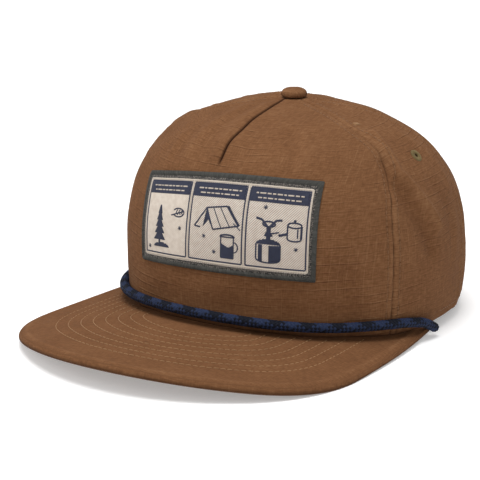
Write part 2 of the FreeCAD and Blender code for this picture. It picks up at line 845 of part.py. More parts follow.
os.makedirs("parts", exist_ok=True)
for name, item in nodes.items():
    item.Shape.exportStep("parts/%s.step" % name)
    print("%-24s %2d solid(s) %9.1f mm3" % (name, len(item.Shape.Solids), item.Shape.Volume))
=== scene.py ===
import json
import math

import bpy
import numpy as np
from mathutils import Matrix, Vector


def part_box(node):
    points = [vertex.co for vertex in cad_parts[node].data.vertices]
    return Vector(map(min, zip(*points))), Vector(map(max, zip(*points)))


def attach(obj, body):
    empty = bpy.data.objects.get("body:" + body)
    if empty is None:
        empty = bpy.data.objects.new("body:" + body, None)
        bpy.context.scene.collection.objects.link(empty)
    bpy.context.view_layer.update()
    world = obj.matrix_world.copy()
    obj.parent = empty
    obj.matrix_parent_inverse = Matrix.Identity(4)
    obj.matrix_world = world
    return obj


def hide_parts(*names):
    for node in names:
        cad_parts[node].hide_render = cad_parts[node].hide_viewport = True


# Looks of a five-panel rope cap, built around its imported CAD. Everything is in metres, in the CAD's own frame:
# the brim points towards -Y, the wearer's left is +X, and the cap stands on z = 0.

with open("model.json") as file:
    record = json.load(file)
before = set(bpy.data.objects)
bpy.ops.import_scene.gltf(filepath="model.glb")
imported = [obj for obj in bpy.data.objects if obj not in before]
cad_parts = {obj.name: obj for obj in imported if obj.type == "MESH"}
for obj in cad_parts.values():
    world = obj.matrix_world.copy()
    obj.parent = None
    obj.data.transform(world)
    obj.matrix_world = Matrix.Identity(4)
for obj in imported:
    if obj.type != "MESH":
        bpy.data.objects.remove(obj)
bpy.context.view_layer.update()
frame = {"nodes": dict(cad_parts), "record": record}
MM = 0.001
TURN = 2.0 * math.pi

# ---------------------------------------------------------------- the crown's surface
# The same formula as the CAD: each meridian is a Bezier curve of height against reach.
CROWN_HALF_WIDTH = 84.6 * MM
CROWN_FRONT = 89.1 * MM
CROWN_BACK = 99.4 * MM
APEX_FORWARD = 1.0 * MM
BUTTON_SEAT = 0.15 * MM
CROWN_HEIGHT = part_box("button_cover")[0].z - BUTTON_SEAT
TEMPLE_HEIGHT = 5.1 * MM
TEMPLE_FORWARD = 3.7 * MM
BRIM_ARCH_RADIUS = 416.0 * MM
CLOTH = 0.9 * MM
FRONT = (0.739, 0.748, -0.043)
SIDE = (0.777, 0.792, 0.149)
BACK = (0.575, 0.639, 0.012)
APEX_SLOPE = 0.065


def smooth(value, low, high):
    """0 below low, 1 above high, with a soft step between."""
    share = np.clip((value - low) / (high - low), 0.0, 1.0)
    return share * share * (3.0 - 2.0 * share)


def unit(vectors):
    return vectors / np.linalg.norm(vectors, axis=-1, keepdims=True)


def hump(distance, width):
    """A soft bump, 1 at no distance and close to 0 beyond two widths."""
    return np.exp(-(distance / width) ** 2)


def brim_height(x):
    return TEMPLE_HEIGHT + (CROWN_HALF_WIDTH ** 2 - x ** 2) / (2.0 * BRIM_ARCH_RADIUS)


def crown(angle, climb, inset=0.0):
    """Points of the plain crown. angle is from the front towards +X, climb from 0 (hem) to 1 (apex)."""
    angle, climb = np.broadcast_arrays(np.asarray(angle, float), np.asarray(climb, float))
    facing = np.cos(angle)
    front_share = np.maximum(facing, 0.0) ** 3
    back_share = np.minimum(facing, 0.0) ** 2
    side_share = 1.0 - front_share - back_share
    rise, spread, bulge = (
        f * front_share + s * side_share + b * back_share for f, s, b in zip(FRONT, SIDE, BACK)
    )
    lift = 3.0 * (1.0 - climb) ** 2 * climb
    ease = 3.0 * (1.0 - climb) * climb ** 2
    reach = (1.0 - climb) ** 3 + lift * (1.0 + bulge) + ease * spread
    height = lift * rise + ease * (1.0 - APEX_SLOPE * spread) + climb ** 3
    hem_x = (CROWN_HALF_WIDTH - inset) * np.sin(angle)
    hem_y = -(np.where(facing > 0, CROWN_FRONT, CROWN_BACK) - inset) * facing
    hem_z = brim_height(hem_x) * (1.0 - smooth(hem_y, -TEMPLE_FORWARD, CROWN_BACK))
    x = hem_x * reach
    y = hem_y * reach - APEX_FORWARD * (1.0 - reach)
    z = hem_z + (CROWN_HEIGHT - inset - hem_z) * height
    return np.stack([x, y, z], axis=-1)


def crown_frame(angle, climb):
    """Outward unit normals and metres per radian across the crown."""
    step = 0.001
    along = crown(angle + step, climb) - crown(angle - step, climb)
    upward = crown(angle, climb + step) - crown(angle, climb - step)
    return unit(np.cross(along, upward)), np.linalg.norm(along, axis=-1) / (2.0 * step)


def climb_where(test, angle):
    """The climb at which test(points) turns from true to false, meridian by meridian."""
    low = np.zeros_like(angle)
    high = np.ones_like(angle)
    for _ in range(30):
        middle = 0.5 * (low + high)
        below = test(crown(angle, middle))
        low = np.where(below, middle, low)
        high = np.where(below, high, middle)
    return 0.5 * (low + high)


def crown_under(x, z, behind=False):
    """The angle and climb of the crown's points at given x and z, in front or behind."""
    x, z = np.broadcast_arrays(np.asarray(x, float), np.asarray(z, float))
    angle = np.full(x.shape, math.pi if behind else 0.0)
    climb = np.zeros(x.shape)
    for _ in range(24):
        climb = climb_where(lambda points: points[..., 2] < z, angle)
        reach = crown(np.full(x.shape, 0.5 * math.pi), climb)[..., 0] / CROWN_HALF_WIDTH
        here = crown(angle, climb)[..., 0]
        sine = np.sin(angle)
        reach = np.where(np.abs(sine) > 0.02, here / np.where(sine == 0, 1.0, CROWN_HALF_WIDTH * sine), reach)
        from_front = np.arcsin(np.clip(x / (CROWN_HALF_WIDTH * reach), -0.999, 0.999))
        angle = math.pi - from_front if behind else from_front
    return angle, climb


# ---------------------------------------------------------------- seams, folds and the cloth's drape
def front_seam(climb):
    """Angle of the seam between front and side panels. It bows backwards a little at mid height."""
    return np.radians(68.3 + 5.6 * hump(climb - 0.55, 0.17))


def back_seam(climb):
    return np.radians(111.0) + 0.0 * climb


DART_X = -1.8 * MM
DART_FOOT = 88.0 * MM


def dart_angle(climb):
    """The front panel's crease stays nearly parallel to the middle of the cap, so it turns near the top."""
    climb = np.asarray(climb, float)
    reach = np.maximum(crown(np.full(climb.shape, 0.5 * math.pi), climb)[..., 0] / CROWN_HALF_WIDTH, 0.01)
    waver = 0.35 * MM * np.sin(38.0 * climb)
    return np.arcsin(np.clip((DART_X + waver) / (CROWN_HALF_WIDTH * reach), -0.75, 0.0))


# Folds and hollows of the cloth: (height, width), then the (angle in degrees, climb) points they pass.
FOLDS = [
    ((3.3, 3.0), [(78.5, 0.66), (77, 0.47), (84.5, 0.33), (90, 0.25)]),
    ((-2.3, 4.8), [(74.0, 0.52), (73.5, 0.42), (79.5, 0.30), (86, 0.19)]),
    ((1.5, 4.0), [(-79, 0.64), (-80, 0.48), (-89, 0.31)]),
    ((-1.4, 5.5), [(-75, 0.48), (-78, 0.36), (-84, 0.26)]),
    ((0.9, 4.0), [(-6, 0.56), (-12, 0.76), (-26, 0.90)]),
    ((-0.7, 3.6), [(-14, 0.54), (-20, 0.72), (-34, 0.88)]),
    ((0.8, 3.6), [(-22, 0.53), (-28, 0.70), (-42, 0.86)]),
    ((-0.6, 3.4), [(-29, 0.52), (-36, 0.66)]),
    ((0.6, 3.4), [(-33, 0.50), (-40, 0.60)]),
    ((-0.4, 3.4), [(-38, 0.52), (-45, 0.66)]),
    ((-0.9, 3.6), [(32, 0.50), (34, 0.60), (32, 0.72)]),
    ((0.7, 3.6), [(38, 0.50), (41, 0.60), (40, 0.70)]),
    ((0.6, 7.0), [(22, 0.60), (24, 0.80)]),
    ((-0.7, 6.0), [(10, 0.58), (13, 0.76)]),
    ((0.7, 4.0), [(97, 0.62), (102, 0.50), (104, 0.36)]),
    ((-0.7, 4.0), [(92, 0.40), (98, 0.28), (100, 0.16)]),
    ((0.6, 4.0), [(104, 0.26), (101, 0.12)]),
    ((-0.8, 17.0), [(-55, 0.64), (-46, 0.77)]),
    ((0.9, 8.0), [(128, 0.30), (140, 0.52)]),
    ((-0.8, 9.0), [(150, 0.46), (140, 0.70)]),
    ((0.8, 9.0), [(-126, 0.34), (-138, 0.56)]),
    ((-0.8, 9.0), [(-152, 0.50), (-142, 0.72)]),
    ((0.6, 8.0), [(165, 0.50), (172, 0.64)]),
    ((0.6, 8.0), [(-166, 0.55), (-172, 0.70)]),
    ((-0.7, 6.0), [(-24, 0.03), (10, 0.035), (30, 0.05)]),
    ((0.5, 5.0), [(-20, 0.09), (12, 0.10)]),
    ((0.6, 5.0), [(62, 0.03), (58, 0.12)]),
    ((-0.6, 6.0), [(54, 0.03), (50, 0.14)]),
]


def distance_to_line(points, line):
    """Shortest distance from each point to a run of straight pieces."""
    best = np.full(points.shape[:-1], np.inf)
    for start, end in zip(line, line[1:]):
        run = end - start
        share = np.clip(((points - start) @ run) / (run @ run), 0.0, 1.0)
        best = np.minimum(best, np.linalg.norm(points - start - share[..., None] * run, axis=-1))
    return best


def above_hem(angle, points):
    """Height above the crown's lower edge."""
    return points[..., 2] - crown(angle, 0.0 * points[..., 2])[..., 2]


HEM_SWELL = 0.9 * MM
HEM_TUCK = 1.5 * MM
HEM_TUCK_HEIGHT = 11.0 * MM


def hem_shape(angle, points):
    """In front the cloth swells over the brim's seam; at the sides and back it is turned in at the hem."""
    above = above_hem(angle, points)
    turned_from_front = np.degrees(np.abs(angle))
    in_front = 1.0 - smooth(turned_from_front, 60.0, 78.0)
    at_side = smooth(turned_from_front, 82.0, 96.0) * (1.0 - smooth(turned_from_front, 126.0, 146.0))
    swell = HEM_SWELL * hump(above - 4.5 * MM, 3.0 * MM)
    tuck = -HEM_TUCK * (1.0 - smooth(above, 0.0, HEM_TUCK_HEIGHT)) ** 2
    return in_front * swell + at_side * tuck


def drape(angle, climb):
    """How far the worn cloth stands in or out of the plain surface, seams left aside."""
    points = crown(angle, climb)
    height = np.zeros(points.shape[:-1])
    for (rise, width), stops in FOLDS:
        line = [crown(math.radians(degrees), share) for degrees, share in stops]
        height += rise * MM * hump(distance_to_line(points, line), width * MM)
    for number in range(9):
        heading = 2.4 * number
        across = np.array([math.cos(heading), math.sin(heading), math.sin(1.7 * number)])
        wavelength = (24.0 + 7.0 * number) * MM
        height += 0.12 * MM * np.sin(points @ across * TURN / wavelength + 1.3 * number)
    near_button = 1.0 - smooth(np.asarray(climb, float), 0.93, 0.97)
    return height * near_button + hem_shape(angle, points)


STITCH_FROM_SEAM = 3.7 * MM
STITCH_PITCH = 2.8 * MM
SEAM_GROOVE = 0.75 * MM
SEAM_FULLNESS = 0.42 * MM
STITCH_GROOVE = 0.2 * MM
SEAM_PUCKER = 0.14 * MM


def seam_relief(distance, along):
    """A sewn seam: a groove, a fuller strip over the turned-in cloth, and a shallow top-stitched line."""
    groove = -SEAM_GROOVE * hump(distance, 0.8 * MM)
    fullness = SEAM_FULLNESS * (1.0 - smooth(distance, 4.2 * MM, 7.5 * MM))
    stitch_line = -STITCH_GROOVE * hump(distance - STITCH_FROM_SEAM, 0.55 * MM)
    pucker = SEAM_PUCKER * np.sin(along * TURN / (8.5 * MM)) * hump(distance, 6.0 * MM)
    return groove + fullness + stitch_line + pucker


def painted_seam_shade(distance, along, climb):
    """Painted shade of a seam: a dark line in its groove, and dark needle holes along the stitch rows beside it.
    """
    fading = 1.0 - 0.75 * smooth(np.asarray(climb, float), 0.46, 0.62)
    line = (0.36 + 0.18 * np.sin(along * TURN / (11.0 * MM))) * hump(distance, 0.42 * MM)
    holes = (
        0.55 * np.maximum(np.sin(along * TURN / STITCH_PITCH), 0.0)
        * hump(distance - STITCH_FROM_SEAM, 0.5 * MM)
    )
    return fading * np.maximum(line, holes)


def seams(angle, climb):
    """Relief of every seam, how near each point is to one, and the painted shade in its groove and in the dart's
    crease, from 0 to 1.
    """
    points = crown(angle, climb)
    _, rate = crown_frame(angle, climb)
    along = points[..., 2] + 0.5 * points[..., 0]
    relief = np.zeros(points.shape[:-1])
    nearness = np.zeros(points.shape[:-1])
    crease_shade = np.zeros(points.shape[:-1])
    seam_angles = (front_seam(climb), -front_seam(climb), back_seam(climb), -back_seam(climb))
    distances = [np.abs(angle - seam) * rate for seam in seam_angles]
    distances.append((math.pi - np.abs(angle)) * rate)
    for distance in distances:
        relief += seam_relief(distance, along)
        nearness = np.maximum(nearness, hump(distance, 3.0 * MM))
        crease_shade = np.maximum(crease_shade, painted_seam_shade(distance, along, climb))
    off_dart = (angle - dart_angle(climb)) * rate
    above_foot = smooth(points[..., 2], DART_FOOT, DART_FOOT + 5.0 * MM)
    relief += above_foot * -0.8 * MM * hump(off_dart, 0.55 * MM)
    relief += above_foot * 0.6 * MM * hump(off_dart + 3.2 * MM, 3.0 * MM)
    # Painted shade down the dart's crease.
    crease_shade = np.maximum(crease_shade, above_foot * hump(off_dart, 0.75 * MM))
    at_brim = 1.0 - smooth(np.degrees(np.abs(angle)), 80.0, 88.0)
    # Painted shade along the foot of the crown in front, where it meets the brim.
    crease_shade = np.maximum(crease_shade, 0.85 * at_brim * hump(above_hem(angle, points), 1.1 * MM))
    near_button = 1.0 - smooth(np.asarray(climb, float), 0.94, 0.98)
    return relief * near_button, nearness, crease_shade


def skin(angle, climb, lift=0.0):
    """Points on the outside of the sewn crown, raised by lift."""
    normal, _ = crown_frame(angle, climb)
    height = drape(angle, climb) + seams(angle, climb)[0] + lift
    return crown(angle, climb) + normal * height[..., None]


def lining(angle, climb, inset):
    """Points at a depth under the crown's outside, without the seams' grooves."""
    normal, _ = crown_frame(angle, climb)
    return crown(angle, climb) + normal * (drape(angle, climb) - inset)[..., None]


# ---------------------------------------------------------------- meshes
def piece(name, points, faces, material, slot, replaces=(), uv=None, values=None, sharp=50.0):
    """A mesh that rides on the cap. uv has a pair for each face corner, values a number for each point."""
    mesh = bpy.data.meshes.new(name)
    mesh.from_pydata(np.asarray(points).reshape(-1, 3).tolist(), [], [list(face) for face in faces])
    if uv is not None:
        layer = mesh.uv_layers.new(name="weave")
        layer.data.foreach_set("uv", np.asarray(uv, np.float32).ravel())
    for key, numbers in (values or {}).items():
        attribute = mesh.attributes.new(key, "FLOAT", "POINT")
        attribute.data.foreach_set("value", np.asarray(numbers, np.float32).ravel())
    mesh.shade_smooth()
    mesh.set_sharp_from_angle(angle=math.radians(sharp))
    mesh.materials.append(material)
    result = bpy.data.objects.new(name, mesh)
    bpy.context.scene.collection.objects.link(result)
    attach(result, "cap")
    if replaces:
        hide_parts(*replaces)
    return result


def slab_faces(rows, columns, wrap=False, kept=None):
    """Faces and their grid corners for a closed slab between an outer and an inner grid of points."""
    across = columns if wrap else columns - 1
    row, column = np.meshgrid(np.arange(rows - 1), np.arange(across), indexing="ij")
    if kept is not None:
        row, column = row[kept], column[kept]
    row, column = row.ravel(), column.ravel()
    corner_rows = np.stack([row, row, row + 1, row + 1], axis=-1)
    corner_columns = np.stack([column, column + 1, column + 1, column], axis=-1)
    index = corner_rows * columns + corner_columns % columns
    flat = corner_rows * (columns + 1) + corner_columns
    starts = index.ravel()
    ends = np.roll(index, -1, axis=1).ravel()
    flat_starts = flat.ravel()
    flat_ends = np.roll(flat, -1, axis=1).ravel()
    count = rows * columns
    lone = ~np.isin(starts * count + ends, ends * count + starts)
    p, q = starts[lone], ends[lone]
    flat_p, flat_q = flat_starts[lone], flat_ends[lone]
    walls = np.stack([q, p, p + count, q + count], axis=-1)
    flat_walls = np.stack([flat_q, flat_p, flat_p, flat_q], axis=-1)
    faces = np.concatenate([index, index[:, ::-1] + count, walls])
    flats = np.concatenate([flat, flat[:, ::-1], flat_walls])
    return faces, flats


def slab(name, outer, inner, material, slot, uv=None, wrap=False, kept=None, values=None, **options):
    """A closed thin piece between two grids of points. uv is a grid of pairs, with one more column if it wraps.
    values are named grids of one number for each outer point."""
    rows, columns = outer.shape[:2]
    faces, flats = slab_faces(rows, columns, wrap, kept)
    corner_uv = None
    if uv is not None:
        if not wrap:
            uv = np.concatenate([uv, uv[:, -1:]], axis=1)
        corner_uv = uv.reshape(-1, 2)[flats]
    points = np.concatenate([outer.reshape(-1, 3), inner.reshape(-1, 3)])
    used, compact = np.unique(faces, return_inverse=True)
    both_sides = {
        key: np.concatenate([np.ravel(grid), 0.0 * np.ravel(grid)])[used]
        for key, grid in (values or {}).items()
    }
    return piece(
        name, points[used], compact.reshape(faces.shape), material, slot,
        uv=corner_uv, values=both_sides, **options
    )


def row_lengths(points):
    """Distance along each row of a grid of points, from its first column."""
    steps = np.linalg.norm(np.diff(points, axis=1), axis=-1)
    return np.concatenate([np.zeros((len(points), 1)), np.cumsum(steps, axis=1)], axis=1)


def run_length(line):
    """Distance along a line of points, from its first point."""
    return np.concatenate([[0.0], np.cumsum(np.linalg.norm(np.diff(line, axis=0), axis=-1))])


def crowded(count):
    """Shares from 0 to 1 that crowd together at both ends, where the seams are."""
    even = np.linspace(0.0, 1.0, count)
    return 0.14 * even + 0.86 * 0.5 * (1.0 - np.cos(math.pi * even))


def resampled(line, spacing):
    """A line's points again at an even spacing, and the distance of each one."""
    reached = run_length(line)
    count = max(int(reached[-1] / spacing), 2)
    even = np.linspace(0.0, reached[-1], count + 1)
    return np.stack([np.interp(even, reached, line[:, axis]) for axis in range(3)], axis=-1), even


STITCH_RING = 6


def stitches(line, normals, stitch, gap, thickness, slant=0.0):
    """Points and faces of stitches lying on a line: plump in the middle, diving in at both ends."""
    reached = run_length(line)
    pitch = stitch + gap
    count = int((reached[-1] - gap) / pitch)
    if count < 1:
        return np.zeros((0, 3)), np.zeros((0, 4), int)
    starts = 0.5 * (reached[-1] - count * pitch + gap) + pitch * np.arange(count)
    stations = np.array([0.0, 0.12, 0.5, 0.88, 1.0])
    fullness = np.array([0.3, 0.85, 1.0, 0.85, 0.3])
    rise = np.array([-0.9, 0.1, 0.45, 0.1, -0.9]) * 0.5 * thickness
    where = (starts[:, None] + stitch * stations).ravel()

    def read(table):
        columns = [np.interp(where, reached, table[:, axis]) for axis in range(3)]
        return np.stack(columns, axis=-1).reshape(count, len(stations), 3)

    middle = read(line)
    up = unit(read(normals))
    ahead = unit(middle[:, -1] - middle[:, 0])[:, None, :] + 0.0 * middle
    aside = unit(np.cross(ahead, up))
    sway = slant * (stations - 0.5)[None, :, None] * aside
    turn = TURN * np.arange(STITCH_RING) / STITCH_RING
    width = 0.5 * thickness * fullness[None, :, None, None]
    ring = (
        (middle + sway + up * rise[None, :, None])[:, :, None, :]
        + aside[:, :, None, :] * np.cos(turn)[None, None, :, None] * width * 1.15
        + up[:, :, None, :] * np.sin(turn)[None, None, :, None] * width
    )
    return tube_faces(ring)


def tube_faces(ring):
    """Points and quads of closed tubes from an array of rings: tube, station, place in the ring, xyz."""
    tubes, stations, sides = ring.shape[:3]
    tube, station, side = np.meshgrid(
        np.arange(tubes), np.arange(stations - 1), np.arange(sides), indexing="ij"
    )
    base = tube * stations * sides + station * sides
    following = (side + 1) % sides
    walls = np.stack(
        [base + side, base + following, base + sides + following, base + sides + side], axis=-1
    ).reshape(-1, 4)[:, ::-1]
    first = np.arange(tubes)[:, None] * stations * sides
    caps = []
    for start in range(1, sides - 1, 2):
        quad = np.array([0, start, start + 1, min(start + 2, sides - 1)])
        caps.append(first + quad)
        caps.append(first + (stations - 1) * sides + quad[::-1])
    caps = np.concatenate(caps)
    return ring.reshape(-1, 3), np.concatenate([walls, caps])


def merged(parts):
    """Several (points, faces) pairs as one."""
    points = []
    faces = []
    offset = 0
    for some_points, some_faces in parts:
        points.append(some_points)
        faces.append(some_faces + offset)
        offset += len(some_points)
    return np.concatenate(points), np.concatenate(faces)


def clean_faces(faces):
    """Face rows with any repeated corner dropped, so a triangle stays a triangle."""
    return [list(dict.fromkeys(face)) for face in faces.tolist()]


def thread_piece(name, parts, material, slot, **options):
    points, faces = merged([part for part in parts if len(part[0])])
    return piece(name, points, clean_faces(faces), material, slot, sharp=180.0, **options)


# ---------------------------------------------------------------- materials
def srgb(red, green, blue):
    """A colour as Blender's linear values, from its usual 0 to 255 numbers."""
    values = [channel / 255.0 for channel in (red, green, blue)]
    linear = [c / 12.92 if c <= 0.04045 else ((c + 0.055) / 1.055) ** 2.4 for c in values]
    return (*linear, 1.0)


class Shader:
    """A material, with short ways of adding linked nodes to it."""

    def __init__(self, name, roughness, sheen=0.0, specular=0.5, metallic=0.0):
        self.material = bpy.data.materials.new(name)
        self.material.use_nodes = True
        self.tree = self.material.node_tree
        self.surface = self.tree.nodes["Principled BSDF"]
        self.surface.inputs["Roughness"].default_value = roughness
        self.surface.inputs["Sheen Weight"].default_value = sheen
        self.surface.inputs["Sheen Roughness"].default_value = 0.5
        self.surface.inputs["Specular IOR Level"].default_value = specular
        self.surface.inputs["Metallic"].default_value = metallic

    def add(self, kind, inputs=None, **settings):
        node = self.tree.nodes.new(kind)
        for key, value in settings.items():
            setattr(node, key, value)
        for key, value in (inputs or {}).items():
            if isinstance(value, bpy.types.NodeSocket):
                self.tree.links.new(value, node.inputs[key])
            else:
                node.inputs[key].default_value = value
        return node

    def math(self, operation, *values):
        return self.add("ShaderNodeMath", dict(enumerate(values)), operation=operation).outputs[0]

    def total(self, *values):
        result = values[0]
        for value in values[1:]:
            result = self.math("ADD", result, value)
        return result

    def times(self, first, second):
        return self.math("MULTIPLY", first, second)

    def weave_uv(self):
        return self.add("ShaderNodeUVMap", uv_map="weave").outputs[0]

    def place(self):
        return self.add("ShaderNodeTexCoord").outputs["Object"]

    def scaled(self, vector, x, y, z=1.0):
        return self.add("ShaderNodeVectorMath", {0: vector, 1: (x, y, z)}, operation="MULTIPLY").outputs[0]

    def parts(self, vector):
        split = self.add("ShaderNodeSeparateXYZ", {0: vector})
        return split.outputs[0], split.outputs[1]

    def noise(self, vector, scale, detail=2.0):
        node = self.add("ShaderNodeTexNoise", {"Vector": vector, "Scale": scale, "Detail": detail})
        return node.outputs["Fac"]

    def span(self, value, low, high, first=0.0, last=1.0, soft=True):
        inputs = {"Value": value, "From Min": low, "From Max": high, "To Min": first, "To Max": last}
        kind = "SMOOTHSTEP" if soft else "LINEAR"
        return self.add("ShaderNodeMapRange", inputs, interpolation_type=kind).outputs[0]

    def lines(self, value, spacing, width):
        """1 on lines that repeat at a spacing, 0 between them."""
        return self.span(self.math("PINGPONG", value, 0.5 * spacing), 0.0, width, 1.0, 0.0)

    def mix(self, share, first, second):
        node = self.add("ShaderNodeMix", {0: share, 6: first, 7: second}, data_type="RGBA")
        return node.outputs[2]

    def attribute(self, name):
        return self.add("ShaderNodeAttribute", attribute_name=name).outputs["Fac"]

    def colour(self, socket):
        self.tree.links.new(socket, self.surface.inputs["Base Color"])

    def rough(self, socket):
        self.tree.links.new(socket, self.surface.inputs["Roughness"])

    def bump(self, height, distance, strength=1.0):
        node = self.add("ShaderNodeBump", {"Height": height, "Distance": distance, "Strength": strength})
        self.tree.links.new(node.outputs[0], self.surface.inputs["Normal"])


CLOTH_DARK = srgb(67, 40, 23)
CLOTH_MID = srgb(109, 74, 48)
CLOTH_LIGHT = srgb(144, 107, 76)
# Colour of the painted shade in seam grooves, needle holes, the dart's crease and the brim's edge.
CREASE_SHADE_COLOUR = srgb(40, 20, 9)
RIB_SPACING = 4.3 * MM
WEAK_RIB_SPACING = 4.6 * MM
YARN = 0.55 * MM


def ripstop(name, rib_strength=1.0, lighten=0.0):
    """Brown cotton ripstop: a fine plain weave with slubs, and raised ribs that come and go, each with a painted
    highlight and a painted shadow beside it.
    """
    shade = Shader(name, 0.95, sheen=0.0, specular=0.09)
    uv = shade.weave_uv()
    across, up = shade.parts(uv)
    wander = shade.span(shade.noise(uv, 28.0), 0.0, 1.0, -0.9 * MM, 0.9 * MM, soft=False)
    up_bent = shade.total(up, wander)
    across_bent = shade.total(across, wander)
    rib = shade.lines(up_bent, RIB_SPACING, 0.34 * MM)
    rib_shadow = shade.lines(shade.total(up_bent, 0.5 * MM), RIB_SPACING, 0.34 * MM)
    weak_rib = shade.lines(across_bent, WEAK_RIB_SPACING, 0.4 * MM)
    region = shade.span(shade.noise(uv, 16.0, 1.0), 0.35, 0.62, 0.35, 1.0)
    streaks = shade.span(shade.noise(shade.scaled(uv, 38.0, 130.0), 1.0, 3.0), 0.38, 0.62, 0.1, 1.0)
    patchy = shade.times(region, streaks)
    patchy_up = shade.span(shade.noise(shade.scaled(uv, 120.0, 34.0), 1.0, 3.0), 0.42, 0.66, 0.0, 1.0)
    slub_across = shade.noise(shade.scaled(uv, 260.0, 1500.0), 1.0, 3.0)
    slub_up = shade.noise(shade.scaled(uv, 1500.0, 260.0), 1.0, 3.0)
    cloudy = shade.noise(uv, 55.0, 4.0)
    weave = shade.times(
        shade.math("SINE", shade.times(across, TURN / YARN)),
        shade.math("SINE", shade.times(up, TURN / YARN)),
    )
    tone = shade.total(
        0.5 + lighten,
        shade.span(slub_across, 0.3, 0.7, -0.13, 0.13, soft=False),
        shade.span(slub_up, 0.3, 0.7, -0.08, 0.08, soft=False),
        shade.span(cloudy, 0.3, 0.7, -0.05, 0.05, soft=False),
        shade.times(weave, 0.03),
        # The rib's own line is painted lighter as a highlight, and the line just beside it painted darker as its
        # shadow.
        shade.times(shade.times(rib, patchy), 0.22 * rib_strength),
        shade.times(shade.times(rib_shadow, patchy), -0.32 * rib_strength),
        shade.times(shade.times(weak_rib, patchy_up), 0.14 * rib_strength),
        # Lighter cloth where seams are rubbed, plus a painted highlight along the brim's ridge.
        shade.times(shade.times(shade.attribute("wear_and_highlight"), cloudy), 0.18),
        # Painted light on the ridges of folds and painted shade in their valleys.
        shade.times(shade.attribute("fold_light_and_shade"), 0.09),
    )
    lower = shade.mix(shade.span(tone, 0.0, 0.5, soft=False), CLOTH_DARK, CLOTH_MID)
    woven = shade.mix(shade.span(tone, 0.5, 1.0, soft=False), lower, CLOTH_LIGHT)
    # Mixed towards the painted shade colour where the point values ask for shade in seams and creases.
    shade.colour(shade.mix(shade.attribute("crease_shade"), woven, CREASE_SHADE_COLOUR))
    height = shade.total(
        shade.times(weave, 0.16),
        shade.times(slub_across, 0.34),
        shade.times(slub_up, 0.22),
        shade.times(shade.times(rib, patchy), 0.6 * rib_strength),
        shade.times(shade.times(weak_rib, patchy_up), 0.3 * rib_strength),
    )
    shade.bump(height, 0.3 * MM, 0.9)
    shade.rough(shade.span(slub_across, 0.2, 0.8, 0.9, 1.0, soft=False))
    return shade.material


def twill(name, dark, light, pitch=0.8 * MM, roughness=0.8, sheen=0.15, weave_uv=True):
    """A plain woven cloth or tape with a fine diagonal line."""
    shade = Shader(name, roughness, sheen=sheen, specular=0.3)
    spot = shade.weave_uv() if weave_uv else shade.place()
    across, up = shade.parts(spot)
    ridge = shade.lines(shade.total(across, up), pitch, 0.4 * pitch)
    cloudy = shade.noise(spot, 90.0, 4.0)
    slub = shade.noise(shade.scaled(spot, 1400.0, 300.0, 300.0), 1.0, 2.0)
    share = shade.total(
        shade.times(ridge, 0.35), shade.times(slub, 0.4), shade.span(cloudy, 0.3, 0.7, -0.1, 0.25, soft=False)
    )
    shade.colour(shade.mix(share, dark, light))
    shade.bump(shade.total(ridge, shade.times(slub, 0.5)), 0.16 * MM, 0.7)
    return shade.material


def thread(name, dark, light, roughness=0.7, sheen=0.04):
    """Twisted sewing thread: a slightly glossy yarn with fine light and dark fibres."""
    shade = Shader(name, roughness, sheen=sheen, specular=0.25)
    spot = shade.place()
    fibres = shade.noise(spot, 2600.0, 2.0)
    patches = shade.noise(spot, 160.0, 2.0)
    share = shade.total(shade.times(fibres, 0.7), shade.times(patches, 0.5), -0.1)
    shade.colour(shade.mix(share, dark, light))
    shade.bump(fibres, 0.05 * MM, 0.6)
    return shade.material


def patch_cloth(name):
    """Cream patch ground with fine dark lines along the diagonal of its twill."""
    shade = Shader(name, 0.85, sheen=0.03, specular=0.2)
    uv = shade.weave_uv()
    across, up = shade.parts(uv)
    diagonal = shade.total(shade.times(across, 0.72), shade.times(up, -0.69))
    line = shade.lines(diagonal, 0.88 * MM, 0.26 * MM)
    vertical = shade.lines(across, 0.42 * MM, 0.16 * MM)
    cloudy = shade.noise(uv, 400.0, 3.0)
    strength = shade.span(across, 30.0 * MM, 42.0 * MM, 0.1, 1.0)
    ground = shade.mix(shade.span(cloudy, 0.3, 0.7), srgb(202, 189, 175), srgb(212, 201, 188))
    ground = shade.mix(shade.times(vertical, 0.12), ground, srgb(120, 105, 100))
    shade.colour(shade.mix(shade.times(shade.times(line, strength), 0.72), ground, srgb(58, 50, 54)))
    shade.bump(shade.total(line, vertical), 0.1 * MM, 0.6)
    return shade.material


def speckled(name):
    """The zone beside the patch's border, where dark and cream threads show through each other."""
    shade = Shader(name, 0.8, sheen=0.1, specular=0.3)
    uv = shade.weave_uv()
    checks = shade.add("ShaderNodeTexChecker", {"Vector": uv, "Scale": 1.0 / (0.5 * MM)}).outputs["Fac"]
    grain = shade.span(shade.noise(uv, 1300.0, 1.0), 0.4, 0.6)
    share = shade.times(shade.math("MAXIMUM", checks, 0.2), grain)
    shade.colour(shade.mix(share, srgb(32, 31, 31), srgb(120, 113, 105)))
    shade.bump(checks, 0.12 * MM, 0.7)
    return shade.material


def satin_border(name):
    """Grey overlocked border thread, laid side by side across the edge."""
    shade = Shader(name, 0.8, sheen=0.0, specular=0.12)
    uv = shade.weave_uv()
    along, over = shade.parts(uv)
    slanted = shade.total(along, shade.times(over, 0.35))
    strand = shade.lines(slanted, 0.55 * MM, 0.26 * MM)
    tone = shade.noise(shade.scaled(uv, 700.0, 120.0), 1.0, 3.0)
    share = shade.total(shade.times(strand, 0.6), shade.times(tone, 0.75), -0.2)
    shade.colour(shade.mix(share, srgb(34, 34, 32), srgb(104, 103, 98)))
    shade.bump(strand, 0.3 * MM, 1.0)
    return shade.material


